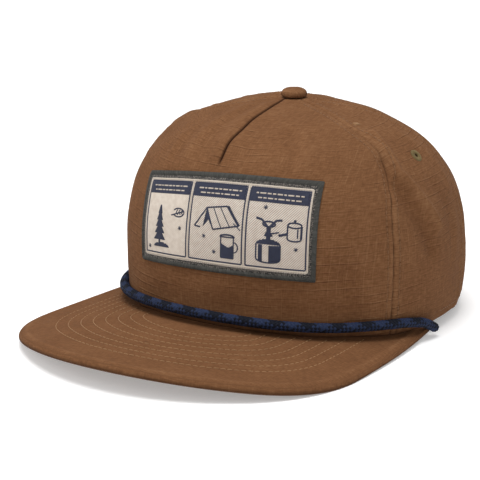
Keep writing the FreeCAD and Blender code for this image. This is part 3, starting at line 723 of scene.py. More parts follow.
def braid_material(name):
    """Rope strands, dark navy with some brighter blue ones, each with fine twisted fibres."""
    shade = Shader(name, 0.7, sheen=0.0, specular=0.15)
    uv = shade.weave_uv()
    along, around = shade.parts(uv)
    fibre = shade.lines(shade.total(along, shade.times(around, 0.8 * MM)), 0.42 * MM, 0.2 * MM)
    tone = shade.noise(shade.place(), 900.0, 2.0)
    dark = shade.mix(tone, srgb(5, 7, 14), srgb(13, 16, 28))
    blue = shade.mix(tone, srgb(19, 27, 48), srgb(42, 54, 84))
    mixed = shade.mix(shade.attribute("blue"), dark, blue)
    shade.colour(shade.mix(shade.times(fibre, 0.1), mixed, srgb(56, 66, 92)))
    shade.bump(fibre, 0.1 * MM, 0.7)
    return shade.material


def moulded_plastic(name, colour, spot_colour):
    shade = Shader(name, 0.42, specular=0.5)
    spot = shade.place()
    grain = shade.noise(spot, 1500.0, 3.0)
    cloudy = shade.noise(spot, 60.0, 3.0)
    shade.colour(shade.mix(shade.span(cloudy, 0.3, 0.7), colour, spot_colour))
    shade.rough(shade.span(grain, 0.3, 0.7, 0.34, 0.55))
    shade.bump(grain, 0.04 * MM, 0.5)
    return shade.material


def stamped_metal(name):
    shade = Shader(name, 0.35, specular=0.5, metallic=0.9)
    spot = shade.place()
    brushed = shade.noise(shade.scaled(spot, 2500.0, 300.0, 300.0), 1.0, 2.0)
    shade.colour(shade.mix(brushed, srgb(118, 112, 102), srgb(168, 160, 148)))
    shade.rough(shade.span(brushed, 0.2, 0.8, 0.28, 0.5))
    shade.bump(brushed, 0.03 * MM, 0.4)
    return shade.material


crown_cloth = ripstop("crown_ripstop")
brim_cloth = ripstop("brim_ripstop", rib_strength=0.25, lighten=-0.04)
button_cloth = ripstop("button_ripstop", rib_strength=0.3)
under_cloth = twill("under_brim_twill", srgb(78, 52, 34), srgb(120, 86, 58))
tape_cloth = twill("seam_tape_twill", srgb(60, 42, 30), srgb(104, 78, 56), pitch=1.2 * MM)
band_cloth = twill("sweatband_twill", srgb(64, 46, 33), srgb(112, 84, 60), pitch=1.0 * MM)
brown_thread = thread("brown_thread", srgb(82, 55, 34), srgb(138, 100, 68))
pale_thread = thread("quilting_thread", srgb(116, 82, 52), srgb(158, 122, 84))
olive_thread = thread("eyelet_thread", srgb(76, 62, 34), srgb(124, 106, 66))
navy_thread = thread("navy_thread", srgb(27, 30, 44), srgb(56, 60, 80))
cream_thread = thread("cream_thread", srgb(160, 148, 134), srgb(200, 188, 174))
patch_ground = patch_cloth("patch_twill")
patch_speckle = speckled("patch_speckle")
border_thread = satin_border("border_thread")
rope_braid = braid_material("rope_braid")
strap_plastic = moulded_plastic("strap_plastic", srgb(58, 40, 28), srgb(70, 49, 34))
board_plastic = moulded_plastic("board_plastic", srgb(196, 194, 188), srgb(212, 210, 204))
tack_metal = stamped_metal("tack_metal")


# ---------------------------------------------------------------- crown panels
TOP_HOLE = 1.6 * MM
PANEL_ROWS = 110
EYELETS = {
    "side_eyelet_left": (92.6, 0.515),
    "side_eyelet_right": (-92.6, 0.515),
    "back_eyelet_left": (147.0, 0.56),
    "back_eyelet_right": (-147.0, 0.56),
}
EYELET_CUT = 1.9 * MM
ARCH_RADIUS = 56.0 * MM
ARCH_DROP = 9.0 * MM
PANEL_GAP = math.radians(0.04)


def in_arch(points):
    return (points[..., 0] ** 2 + (points[..., 2] + ARCH_DROP) ** 2 < ARCH_RADIUS ** 2) & (points[..., 1] > 0)


def outside_top_hole(points):
    return np.hypot(points[..., 0], points[..., 1] + APEX_FORWARD) > TOP_HOLE


def strip_angles(edges, columns, climb):
    """Angles of a panel's columns. climb is one column of rows, or a grid as wide as the whole panel."""
    strips = []
    start = 0
    for left, right in zip(edges, edges[1:]):
        across = crowded(columns)[None, min(start, 1):]
        part = climb if climb.shape[1] == 1 else climb[:, start:start + across.shape[1]]
        strips.append(left(part) + (right(part) - left(part)) * across)
        start += across.shape[1]
    return np.concatenate(strips, axis=1)


def crown_panel(name, edges, columns, replaces):
    """A panel between seams. edges are functions of climb; each pair of neighbours bounds a strip."""
    share = np.linspace(0.0, 1.0, PANEL_ROWS)[:, None]
    angle = strip_angles(edges, columns, share)
    foot = climb_where(in_arch, angle[0])
    top = climb_where(outside_top_hole, angle[-1])
    climb = foot + (top - foot) * share
    angle = strip_angles(edges, columns, climb)
    plain = crown(angle, climb)
    middle = (angle.shape[1] - 1) // 2
    across_lengths = row_lengths(plain)
    u = across_lengths - across_lengths[:, middle:middle + 1]
    v = row_lengths(plain.transpose(1, 0, 2)).T + plain[:1, :, 2]
    kept = np.ones((angle.shape[0] - 1, angle.shape[1] - 1), bool)
    centres = 0.25 * (plain[:-1, :-1] + plain[1:, :-1] + plain[:-1, 1:] + plain[1:, 1:])
    for degrees, level in EYELETS.values():
        hole = crown(math.radians(degrees), level)
        kept &= np.linalg.norm(centres - hole, axis=-1) > EYELET_CUT
    # Seams and creases get their painted shade as point values.
    _, nearness, crease_shade = seams(angle, climb)
    # Painted light and shade: lighter on fold ridges, darker in fold valleys.
    fold_light_and_shade = np.clip((drape(angle, climb) - hem_shape(angle, plain)) / (2.4 * MM), -1.0, 1.0)
    slab(
        name, skin(angle, climb), lining(angle, climb, CLOTH), crown_cloth, "crown_cloth",
        uv=np.stack([u, v], axis=-1), kept=kept,
        values={"wear_and_highlight": nearness, "crease_shade": crease_shade, "fold_light_and_shade": fold_light_and_shade}, replaces=replaces,
    )


def turned(edge, sign, gap):
    return lambda climb: sign * edge(climb) + gap


def straight_back(climb):
    return math.pi + 0.0 * climb


crown_panel(
    "crown_front", [turned(front_seam, -1, PANEL_GAP), dart_angle, turned(front_seam, 1, -PANEL_GAP)], 100,
    ["front_panel"],
)
crown_panel(
    "crown_side_left", [turned(front_seam, 1, PANEL_GAP), turned(back_seam, 1, -PANEL_GAP)], 64,
    ["side_panel_left"],
)
crown_panel(
    "crown_side_right", [turned(back_seam, -1, PANEL_GAP), turned(front_seam, -1, -PANEL_GAP)], 64,
    ["side_panel_right"],
)
crown_panel(
    "crown_back_left", [turned(back_seam, 1, PANEL_GAP), turned(straight_back, 1, -PANEL_GAP)], 84,
    ["back_panel_left"],
)
crown_panel(
    "crown_back_right", [turned(straight_back, -1, PANEL_GAP), turned(back_seam, -1, -PANEL_GAP)], 84,
    ["back_panel_right"],
)


# ---------------------------------------------------------------- stitching on the crown
def crown_stitches(angle, climb, stitch=2.3 * MM, gap=0.5 * MM, thickness=0.42 * MM):
    """A row of stitches along a line on the crown's outside."""
    return stitches(skin(angle, climb, 0.02 * MM), crown_frame(angle, climb)[0], stitch, gap, thickness)


def seam_row(seam, sign, side, low, high):
    """Stitches beside a seam, at a constant distance from it."""
    climb = np.linspace(low, high, 160)
    middle = sign * seam(climb)
    _, rate = crown_frame(middle, climb)
    return crown_stitches(middle + side * STITCH_FROM_SEAM / rate, climb)


for side_name, sign in (("left", 1), ("right", -1)):
    thread_piece(
        "front_seam_stitches_" + side_name,
        [seam_row(front_seam, sign, side, 0.012, 0.93) for side in (-1, 1)], brown_thread, "thread",
    )
    thread_piece(
        "back_seam_stitches_" + side_name,
        [seam_row(back_seam, sign, side, 0.012, 0.93) for side in (-1, 1)], brown_thread, "thread",
    )
arch_top_climb = float(climb_where(in_arch, np.array([math.pi]))[0])
thread_piece(
    "centre_back_stitches",
    [seam_row(straight_back, 1, side, arch_top_climb + 0.03, 0.93) for side in (-1, 1)],
    brown_thread, "thread",
)

HEM_STITCH_HEIGHT = 4.5 * MM
ARCH_END_ANGLE = 147.0
hem_rows = []
for sign in (1, -1):
    hem_angle = sign * np.radians(np.linspace(94.0, ARCH_END_ANGLE - 6.0, 120))
    hem_level = crown(hem_angle, np.zeros(120))[:, 2] + HEM_STITCH_HEIGHT
    hem_climb = climb_where(lambda points: points[..., 2] < hem_level, hem_angle)
    hem_rows.append(crown_stitches(hem_angle, hem_climb))
thread_piece("hem_stitches", hem_rows, brown_thread, "thread")


def bar_tack(degrees, level):
    """A short bar of thread across the side panel, just behind its front seam."""
    angle = np.radians(np.linspace(degrees - 3.4, degrees + 3.4, 12))
    parts = []
    for step in range(4):
        climb = np.full(12, level + 0.0035 * step)
        parts.append(crown_stitches(angle, climb, 4.4 * MM, 0.1 * MM, 0.55 * MM))
    return parts


for side_name, sign in (("left", 1), ("right", -1)):
    thread_piece("bar_tack_" + side_name, bar_tack(sign * 78.0, 0.735), pale_thread, "thread")


# ---------------------------------------------------------------- eyelets
def eyelet(name, degrees, level):
    """A sewn eyelet: thread wrapped around a hole, side by side, with a thin purl ring at its lip."""
    angle = math.radians(degrees)
    centre = skin(np.array([angle]), np.array([level]))[0]
    normal = crown_frame(np.array([angle]), np.array([level]))[0][0]
    across = unit(np.cross([0.0, 0.0, 1.0], normal))
    up = np.cross(normal, across)
    wraps = 30
    turn = TURN * np.arange(wraps) / wraps
    outward = np.cos(turn)[:, None] * across + np.sin(turn)[:, None] * up
    sideways = -np.sin(turn)[:, None] * across + np.cos(turn)[:, None] * up
    ring_middle = 2.35 * MM
    half_width = 1.05 * MM
    half_height = 0.6 * MM
    bow = np.radians(np.linspace(-30.0, 210.0, 9))
    radius = ring_middle + half_width * np.cos(bow)
    height = half_height * np.sin(bow)
    path = centre + radius[None, :, None] * outward[:, None, :] + height[None, :, None] * normal
    away = np.cos(bow)[None, :, None] * outward[:, None, :] + np.sin(bow)[None, :, None] * normal
    girth = 0.5 * 0.62 * MM * (radius / ring_middle)
    spin = TURN * np.arange(5) / 5
    ring = (
        path[:, :, None, :]
        + away[:, :, None, :] * np.cos(spin)[None, None, :, None] * 0.22 * MM
        + sideways[:, None, None, :] * np.sin(spin)[None, None, :, None] * girth[None, :, None, None]
    )
    sweep = TURN * np.arange(49) / 48
    core_line = centre + ring_middle * (np.cos(sweep)[:, None] * across + np.sin(sweep)[:, None] * up)
    core_out = np.cos(sweep)[:, None] * across + np.sin(sweep)[:, None] * up
    core = (
        core_line[:, None, :]
        + core_out[:, None, :] * np.cos(spin)[None, :, None] * (half_width - 0.1 * MM)
        + normal * np.sin(spin)[None, :, None] * (half_height - 0.1 * MM)
    )[None]
    thread_piece(
        name + "_thread", [tube_faces(ring), tube_faces(core)], olive_thread, "thread", replaces=[name]
    )


for eyelet_name, (degrees, level) in EYELETS.items():
    eyelet(eyelet_name, degrees, level)


# ---------------------------------------------------------------- brim
brim_low, brim_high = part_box("brim_top_cover")
BRIM_HALF_WIDTH = brim_high.x
BRIM_FRONT = -brim_low.y
BRIM_WIDEST = 89.7 * MM
BRIM_CORNER = 70.0 * MM
TEMPLE_X = CROWN_HALF_WIDTH + 1.0 * MM
TEMPLE_Y = -TEMPLE_FORWARD - 1.0 * MM
COVER = 0.7 * MM
STITCH_ROWS = 8
FIRST_ROW = 18.5 * MM
ROW_SPACING = 6.3 * MM
ROW_DEPTH = 0.12 * MM


def brim_thickness(y):
    """The board's edge is rolled fuller round the front."""
    return 3.0 * MM + 1.0 * MM * smooth(-y, 60.0 * MM, 115.0 * MM)


def arc(centre, radius, first, last, count):
    turn = np.radians(np.linspace(first, last, count))
    return np.stack(
        [centre[0] + radius * np.cos(turn), centre[1] + radius * np.sin(turn), 0.0 * turn], axis=-1
    )


def brim_outline():
    """The brim's plan from the left temple round the front to the right one, evenly spaced."""
    run = TEMPLE_Y + BRIM_WIDEST
    bow = BRIM_HALF_WIDTH - TEMPLE_X
    side_radius = (run ** 2 + bow ** 2) / (2.0 * bow)
    corner_x = BRIM_HALF_WIDTH - BRIM_CORNER
    depth = BRIM_FRONT - BRIM_WIDEST
    front_radius = (corner_x ** 2 + depth ** 2 - BRIM_CORNER ** 2) / (2.0 * (depth - BRIM_CORNER))
    front_y = front_radius - BRIM_FRONT
    meet = math.degrees(math.atan2(-BRIM_WIDEST - front_y, corner_x))
    side_end = math.degrees(math.asin(run / side_radius))
    half = np.concatenate([
        arc((BRIM_HALF_WIDTH - side_radius, -BRIM_WIDEST), side_radius, side_end, 0.0, 60)[:-1],
        arc((corner_x, -BRIM_WIDEST), BRIM_CORNER, 0.0, meet, 60)[:-1],
        arc((0.0, front_y), front_radius, meet, -90.0, 60),
    ])
    other = half[::-1][1:] * np.array([-1.0, 1.0, 1.0])
    return resampled(np.concatenate([half, other]), 1.5 * MM)[0]


outline = brim_outline()
outline_ahead = unit(np.gradient(outline, axis=0))
outline_inward = np.stack([outline_ahead[:, 1], -outline_ahead[:, 0], 0.0 * outline_ahead[:, 0]], axis=-1)
if outline_inward[len(outline) // 2, 1] < 0:
    outline_inward = -outline_inward


def quilting(distance):
    """Relief of the brim's parallel rows of stitching, by distance from its edge."""
    relief = np.zeros_like(distance)
    for number in range(STITCH_ROWS):
        relief -= ROW_DEPTH * hump(distance - FIRST_ROW - number * ROW_SPACING, 0.9 * MM)
    return relief


def brim_plan(tuck):
    """A grid from the brim's edge to just inside the crown's hem, and each point's distance from the edge."""
    reached = run_length(outline)
    share = reached / reached[-1]
    angle = 0.5 * math.pi * (1.0 - 2.0 * share)
    inner = np.stack([
        (CROWN_HALF_WIDTH - tuck) * np.sin(angle), -(CROWN_FRONT - tuck) * np.cos(angle), 0.0 * angle
    ], axis=-1)
    inner[:, 1] = np.minimum(inner[:, 1], TEMPLE_Y)
    steps = np.concatenate([np.linspace(0.0, 0.04, 5)[:-1], np.linspace(0.04, 1.0, 104)])
    grid = outline[None] + (inner - outline)[None] * steps[:, None, None]
    distance = distance_to_line(grid, outline[::2])
    return grid, distance


RIDGE_FROM_EDGE = 4.0 * MM
RIDGE_HEIGHT = 0.35 * MM
RIDGE_WIDTH = 1.6 * MM
# Width of the painted highlight along the brim's ridge.
RIDGE_HIGHLIGHT_WIDTH = 1.2 * MM
EDGE_ROLL = 0.4 * MM


def brim_cover(name, top, material, replaces):
    """One cloth face of the brim. The top one is turned down over the edge, the under one meets it there."""
    grid, distance = brim_plan(1.2 * MM)
    level = brim_height(grid[..., 0])
    thickness = brim_thickness(grid[..., 1])
    ripple = 0.1 * MM * np.sin(grid[..., 0] * 95.0 + 1.0) * np.sin(grid[..., 1] * 70.0)
    if top:
        ridge = RIDGE_HEIGHT * hump(distance - RIDGE_FROM_EDGE, RIDGE_WIDTH)
        roll = EDGE_ROLL * (1.0 - smooth(distance, 0.0, RIDGE_FROM_EDGE))
        face = level + quilting(distance) + ripple + ridge - roll
    else:
        face = level - thickness - quilting(distance)
    round_over = 0.8 * MM
    inset = np.minimum(distance, round_over)
    shoulder = round_over - np.sqrt(np.maximum(round_over ** 2 - (round_over - inset) ** 2, 0.0))
    outer = grid.copy()
    inner = grid.copy()
    if top:
        outer[..., 2] = face - shoulder
        inner[..., 2] = np.minimum(level - COVER, face - shoulder - 0.3 * MM)
        drop_share = np.linspace(1.0, 0.0, 6)[:-1]
        edge = outer[0]
        side_depth = thickness[0] - round_over - EDGE_ROLL - 0.55 * MM
        belly = 0.3 * MM * np.sin(math.pi * drop_share)
        skirt = edge[None] - outline_inward[None] * belly[:, None, None]
        skirt = skirt - np.array([0.0, 0.0, 1.0]) * (side_depth[None, :] * drop_share[:, None])[..., None]
        lining_skirt = skirt + outline_inward[None] * COVER
        outer = np.concatenate([skirt, outer])
        inner = np.concatenate([
            lining_skirt, inner + outline_inward[None] * (COVER * hump(distance, 2 * MM))[..., None],
        ])
    else:
        small_round = 0.6 * MM
        inset = np.minimum(distance, small_round)
        lift = small_round - np.sqrt(np.maximum(small_round ** 2 - (small_round - inset) ** 2, 0.0))
        outer[..., 2] = level - thickness + COVER
        inner[..., 2] = face + lift
    v = row_lengths(outer.transpose(1, 0, 2)).T
    u = np.broadcast_to(run_length(outline)[None], v.shape)
    flat_uv = np.stack([outer[..., 0], outer[..., 1]], axis=-1)
    flat_uv = np.where((v < 4.0 * MM)[..., None], np.stack([u, v], axis=-1), flat_uv)
    from_ridge = (len(outer) - len(grid)) * np.ones_like(v) - np.arange(len(outer))[:, None]
    # Painted shade on the turned-down side of the edge, darker towards its foot.
    crease_shade = 0.7 * smooth(from_ridge, 0.0, 5.0) if top else 0.0 * v
    # A painted highlight along the ridge just inside the edge.
    wear_and_highlight = 0.0 * v
    wear_and_highlight[len(outer) - len(grid):] = hump(distance - RIDGE_FROM_EDGE, RIDGE_HIGHLIGHT_WIDTH)
    slab(name, outer[:, ::-1], inner[:, ::-1], material, "crown_cloth", uv=flat_uv[:, ::-1],
         values={"wear_and_highlight": wear_and_highlight[:, ::-1], "crease_shade": crease_shade[:, ::-1]}, replaces=replaces)


brim_cover("brim_top", True, brim_cloth, ["brim_top_cover"])
brim_cover("brim_underside", False, under_cloth, ["brim_under_cover"])


def brim_row(offset, top):
    """One row of quilting stitches at one distance from the brim's edge, where it is clear of the crown."""
    line = outline + outline_inward * offset
    hem = (line[:, 0] / (CROWN_HALF_WIDTH + 1.0 * MM)) ** 2 + (line[:, 1] / (CROWN_FRONT + 1.0 * MM)) ** 2
    line = line[(hem > 1.0) & (line[:, 1] < TEMPLE_Y)]
    sunk = 0.16 * MM * smooth(np.abs(line[:, 0]), 42.0 * MM, 70.0 * MM)
    relief = 0.04 * MM - ROW_DEPTH - sunk
    level = brim_height(line[:, 0])
    ripple = 0.1 * MM * np.sin(line[:, 0] * 95.0 + 1.0) * np.sin(line[:, 1] * 70.0)
    line = line.copy()
    line[:, 2] = level + relief + ripple if top else level - brim_thickness(line[:, 1]) - relief
    normals = np.zeros_like(line)
    normals[:, 0] = line[:, 0] / BRIM_ARCH_RADIUS
    normals[:, 2] = 1.0
    return stitches(line, normals if top else -normals, 2.8 * MM, 0.5 * MM, 0.45 * MM)


for face_name, top in (("top", True), ("under", False)):
    thread_piece(
        "brim_%s_stitches" % face_name,
        [brim_row(FIRST_ROW + number * ROW_SPACING, top) for number in range(STITCH_ROWS)],
        pale_thread, "thread",
    )


# ---------------------------------------------------------------- rope
# The CAD's route again, in metres: from the wearer's right temple across the front to the left one.
ROPE_ROUTE = [
    (-0.0885, -0.0030, 0.0036),
    (-0.0884, -0.0088, 0.0072),
    (-0.0870, -0.0178, 0.0106),
    (-0.0833, -0.0318, 0.0126),
    (-0.0751, -0.0493, 0.0138),
    (-0.0637, -0.0647, 0.0152),
    (-0.0470, -0.0790, 0.0172),
    (-0.0244, -0.0895, 0.0190),
    (0.0000, -0.0932, 0.0198),
    (0.0244, -0.0895, 0.0188),
    (0.0470, -0.0790, 0.0168),
    (0.0637, -0.0647, 0.0151),
    (0.0751, -0.0493, 0.0141),
    (0.0833, -0.0318, 0.0127),
    (0.0870, -0.0178, 0.0107),
    (0.0884, -0.0088, 0.0072),
    (0.0885, -0.0030, 0.0036),
]
ROPE_DIAMETER = 5.2 * MM
STRANDS_EACH_WAY = 8
BRAID_PITCH = 15.4 * MM
BRAID_START = 0.125


def route_line(route):
    """The rope's middle line, read from a smooth spline through its route."""
    curve = bpy.data.curves.new("rope_route", "CURVE")
    curve.dimensions = "3D"
    curve.resolution_u = 16
    spline = curve.splines.new("NURBS")
    spline.points.add(len(route) - 1)
    for point, place in zip(spline.points, route):
        point.co = (*place, 1.0)
    spline.order_u = 3
    spline.use_endpoint_u = True
    holder = bpy.data.objects.new("rope_route", curve)
    mesh = bpy.data.meshes.new_from_object(holder)
    line = np.array([vertex.co for vertex in mesh.vertices])
    bpy.data.objects.remove(holder)
    bpy.data.curves.remove(curve)
    bpy.data.meshes.remove(mesh)
    return line


def cross_directions(line):
    """Two directions across a line at each point, carried along it without twisting."""
    ahead = unit(np.gradient(line, axis=0))
    first = unit(np.cross(ahead[0], [0.0, 0.0, 1.0]))
    sides = [first]
    for direction in ahead[1:]:
        first = first - direction * (first @ direction)
        first = first / np.linalg.norm(first)
        sides.append(first)
    sides = np.array(sides)
    return sides, np.cross(ahead, sides)


def rope():
    path = route_line(ROPE_ROUTE)
    line, reached = resampled(path, 0.62 * MM)
    side, up = cross_directions(line)
    length = reached[-1]
    from_end = np.minimum(reached, length - reached)
    end_round = 2.2 * MM
    taper = np.sqrt(np.clip(1.0 - (1.0 - np.minimum(from_end, end_round) / end_round) ** 2, 0.02, 1.0))
    middle_radius = 0.5 * ROPE_DIAMETER - 0.62 * MM
    parts = []
    blueness = []
    along_uv = []
    for way in (1, -1):
        for number in range(STRANDS_EACH_WAY):
            turn = way * TURN * reached / BRAID_PITCH + TURN * (number / STRANDS_EACH_WAY + BRAID_START)
            weave = way * np.cos(STRANDS_EACH_WAY * TURN * reached / BRAID_PITCH)
            radius = (middle_radius + 0.2 * MM * weave) * taper
            outward = np.cos(turn)[:, None] * side + np.sin(turn)[:, None] * up
            centre = line + outward * radius[:, None]
            ahead = unit(np.gradient(centre, axis=0))
            aside = unit(np.cross(ahead, outward))
            spin = TURN * np.arange(6) / 6
            size = (0.35 + 0.65 * taper)[:, None, None]
            ring = (
                centre[:, None, :]
                + outward[:, None, :] * np.cos(spin)[None, :, None] * 0.46 * MM * size
                + aside[:, None, :] * np.sin(spin)[None, :, None] * 0.80 * MM * size
            )[None]
            parts.append(tube_faces(ring))
            bright = number < 4
            blueness.append(np.full(ring.shape[1] * ring.shape[2], 1.0 if bright else 0.0))
            along_uv.append(np.stack(np.broadcast_arrays(reached[:, None], spin[None, :] / TURN), axis=-1))
    spin = TURN * np.arange(10) / 10
    core = (
        line[:, None, :]
        + side[:, None, :] * (np.cos(spin)[None, :, None] * (middle_radius - 0.1 * MM) * taper[:, None, None])
        + up[:, None, :] * (np.sin(spin)[None, :, None] * (middle_radius - 0.1 * MM) * taper[:, None, None])
    )[None]
    parts.append(tube_faces(core))
    blueness.append(np.zeros(core.shape[1] * core.shape[2]))
    along_uv.append(np.stack(np.broadcast_arrays(reached[:, None], spin[None, :] / TURN), axis=-1))
    points, faces = merged(parts)
    faces = clean_faces(faces)
    point_uv = np.concatenate([pairs.reshape(-1, 2) for pairs in along_uv])
    corner_uv = point_uv[np.concatenate([np.array(face) for face in faces])]
    result = piece(
        "rope_braid", points, faces, rope_braid, "rope", uv=corner_uv, sharp=180.0,
        values={"blue": np.concatenate(blueness)}, replaces=["rope"],
    )


rope()


# ---------------------------------------------------------------- patch
# Corners of the patch as x and z on the front of the crown. The cloth under it pulls it a little out of square.
PATCH_CORNERS = {
    "bottom_left": (-40.9, 37.2),
    "bottom_right": (56.2, 38.3),
    "top_left": (-45.6, 80.0),
    "top_right": (52.3, 85.7),
}

PATCH_TOP_BOW = 4.0 * MM
PATCH_FOOT_BOW = 2.6 * MM
PATCH_SIDE_BOW = 0.9 * MM


def patch_map():
    """Angle and climb on an even grid over the patch, and its width and height in metres."""
    columns, rows = 97, 41
    across = np.linspace(0.0, 1.0, columns)[None, :, None]
    up = np.linspace(0.0, 1.0, rows)[:, None, None]
    corner = {key: np.array(value) * MM for key, value in PATCH_CORNERS.items()}
    low = corner["bottom_left"] + (corner["bottom_right"] - corner["bottom_left"]) * across
    high = corner["top_left"] + (corner["top_right"] - corner["top_left"]) * across
    spots = low + (high - low) * up
    edge_bow = PATCH_FOOT_BOW + (PATCH_TOP_BOW - PATCH_FOOT_BOW) * up[..., 0]
    height_bow = edge_bow * 4.0 * across[..., 0] * (1.0 - across[..., 0])
    side_bow = PATCH_SIDE_BOW * 4.0 * up[..., 0] * (1.0 - up[..., 0]) * (2.0 * across[..., 0] - 1.0)
    spots = spots + np.stack([side_bow, height_bow], axis=-1)
    angle, climb = crown_under(spots[..., 0], spots[..., 1])
    lengths = row_lengths(crown(angle, climb))
    even = np.linspace(0.0, 1.0, columns)
    for row in range(rows):
        share = lengths[row] / lengths[row, -1]
        angle[row] = np.interp(even, share, angle[row])
        climb[row] = np.interp(even, share, climb[row])
    points = crown(angle, climb)
    width = row_lengths(points)[:, -1].mean()
    height = row_lengths(points.transpose(1, 0, 2))[:, -1].mean()
    return angle, climb, width, height


patch_angle, patch_climb, PATCH_WIDTH, PATCH_HEIGHT = patch_map()
PATCH_STAND = 0.15 * MM
PATCH_CLOTH = 0.8 * MM


def patch_spot(x, y):
    """Angle and climb at x and y on the patch, in metres from its lower left corner."""
    rows, columns = patch_angle.shape
    column = np.clip(np.asarray(x) / PATCH_WIDTH, 0.0, 1.0) * (columns - 1)
    row = np.clip(np.asarray(y) / PATCH_HEIGHT, 0.0, 1.0) * (rows - 1)
    left = np.minimum(column.astype(int), columns - 2)
    low = np.minimum(row.astype(int), rows - 2)
    s, t = column - left, row - low

    def read(table):
        lower = table[low, left] * (1 - s) + table[low, left + 1] * s
        upper = table[low + 1, left] * (1 - s) + table[low + 1, left + 1] * s
        return lower * (1 - t) + upper * t
    return read(patch_angle), read(patch_climb)


def on_patch(x, y, lift):
    """Points over the patch's ground. The patch is stiffer than the crown, so it follows half of its folds."""
    angle, climb = patch_spot(x, y)
    normal, _ = crown_frame(angle, climb)
    height = 0.5 * drape(angle, climb) + PATCH_STAND + PATCH_CLOTH + lift
    return crown(angle, climb) + normal * height[..., None]


def patch_sheet(name, x, y, front, back, material, **options):
    """A closed slab over a grid of patch places."""
    x, y = np.broadcast_arrays(x, y)
    slab(name, on_patch(x, y, front), on_patch(x, y, back), material, uv=np.stack([x, y], axis=-1), **options)


BORDER = 2.7 * MM
SPECKLE = 1.3 * MM
patch_sheet(
    "patch_ground", np.linspace(1.6 * MM, PATCH_WIDTH - 1.6 * MM, 110)[None, :],
    np.linspace(1.6 * MM, PATCH_HEIGHT - 1.6 * MM, 50)[:, None], 0.0, -PATCH_CLOTH, patch_ground,
    slot="patch", replaces=["patch_fabric"],
)


def rounded_loop(inset, corner, spacing=0.3 * MM):
    """Places on a rounded rectangle inside the patch's edge, evenly spaced, going round anticlockwise."""
    x_low, x_high = inset, PATCH_WIDTH - inset
    y_low, y_high = inset, PATCH_HEIGHT - inset
    line = []
    for centre_x, centre_y, start in (
        (x_high - corner, y_low + corner, -90.0), (x_high - corner, y_high - corner, 0.0),
        (x_low + corner, y_high - corner, 90.0), (x_low + corner, y_low + corner, 180.0),
    ):
        line.append(arc((centre_x, centre_y), corner, start, start + 90.0, 12))
    line = np.concatenate(line)
    line = np.concatenate([line, line[:1]])
    return resampled(line, spacing)[0][:-1]


def border_ring(name, outer_inset, inner_inset, profile, base, material, rib, **options):
    """A raised ring around the patch. profile(share) is its height from its outer to its inner edge."""
    count_across = 11
    loop = rounded_loop(outer_inset, 1.4 * MM)
    centre = np.array([0.5 * PATCH_WIDTH, 0.5 * PATCH_HEIGHT, 0.0])
    half = np.array([0.5 * PATCH_WIDTH - outer_inset, 0.5 * PATCH_HEIGHT - outer_inset, 1.0])
    shrink = (half - (inner_inset - outer_inset)) / half
    inner_loop = centre + (loop - centre) * np.array([shrink[0], shrink[1], 1.0])
    share = np.linspace(0.0, 1.0, count_across)[:, None]
    x = loop[None, :, 0] + (inner_loop - loop)[None, :, 0] * share
    y = loop[None, :, 1] + (inner_loop - loop)[None, :, 1] * share
    around = run_length(np.concatenate([loop, loop[:1]]))
    slanted = around[:-1][None, :] + 0.35 * (inner_inset - outer_inset) * share
    ribs = rib * np.sin(TURN * slanted / (0.9 * MM))
    height = profile(share) + ribs * np.sin(math.pi * share)
    u = np.broadcast_to(around[None, :], (count_across, len(around)))
    v = np.broadcast_to(share * (inner_inset - outer_inset), u.shape)
    slab(
        name, on_patch(x, y, height), on_patch(x, y, base + 0.0 * height), material,
        uv=np.stack([u, v], axis=-1), wrap=True, slot="patch_edge", **options,
    )


border_ring(
    "patch_border_thread", -0.2 * MM, BORDER,
    lambda share: (
        -0.75 * MM + 1.45 * MM * np.sqrt(np.clip(np.sin(math.pi * (0.02 + 0.96 * share)), 0.0, 1.0))
    ),
    -PATCH_CLOTH + 0.02 * MM, border_thread, 0.05 * MM, replaces=["patch_border"],
)
border_ring(
    "patch_speckle_zone", BORDER - 0.3 * MM, BORDER + SPECKLE,
    lambda share: 0.16 * MM + 0.0 * share, -0.1 * MM, patch_speckle, 0.0,
)

# Embroidery: raised thread on the patch, in millimetres from its lower left corner.
THREAD_RISE = 0.16


def ribbon(points, width, rise=THREAD_RISE):
    """A raised thread line over the patch. points are in millimetres, width is its full width."""
    line = np.array([(x, y, 0.0) for x, y in points]) * MM
    line, _ = resampled(line, 0.8 * MM)
    ahead = unit(np.gradient(line, axis=0))
    aside = np.stack([-ahead[:, 1], ahead[:, 0]], axis=-1)
    bow = np.array([-1.0, -0.75, 0.0, 0.75, 1.0])
    crest = np.array([0.0, 0.75, 1.0, 0.75, 0.0])
    x = line[:, None, 0] + aside[:, None, 0] * bow * 0.5 * width * MM
    y = line[:, None, 1] + aside[:, None, 1] * bow * 0.5 * width * MM
    outer = on_patch(x, y, rise * MM * np.broadcast_to(crest, x.shape) + 0.01 * MM)
    inner = on_patch(x, y, np.full(x.shape, -0.12 * MM))
    faces, _ = slab_faces(len(line), 5)
    return np.concatenate([outer.reshape(-1, 3), inner.reshape(-1, 3)]), faces[:, ::-1]


def satin(polygon, pitch=0.5, slope=0.0):
    """A filled shape as rows of thread laid side by side across it."""
    corners = np.array(polygon, float)
    turn = np.array([[math.cos(slope), math.sin(slope)], [-math.sin(slope), math.cos(slope)]])
    turned_corners = corners @ turn.T
    rows = []
    level = turned_corners[:, 1].min() + 0.5 * pitch
    while level < turned_corners[:, 1].max():
        crossings = []
        for (x1, y1), (x2, y2) in zip(turned_corners, np.roll(turned_corners, -1, axis=0)):
            if (y1 - level) * (y2 - level) < 0:
                crossings.append(x1 + (level - y1) / (y2 - y1) * (x2 - x1))
        crossings.sort()
        for left, right in zip(crossings[::2], crossings[1::2]):
            if right - left > 0.3:
                ends = np.array([[left, level], [right, level]]) @ turn
                rows.append(ribbon(ends, pitch * 1.12))
        level += pitch
    return rows


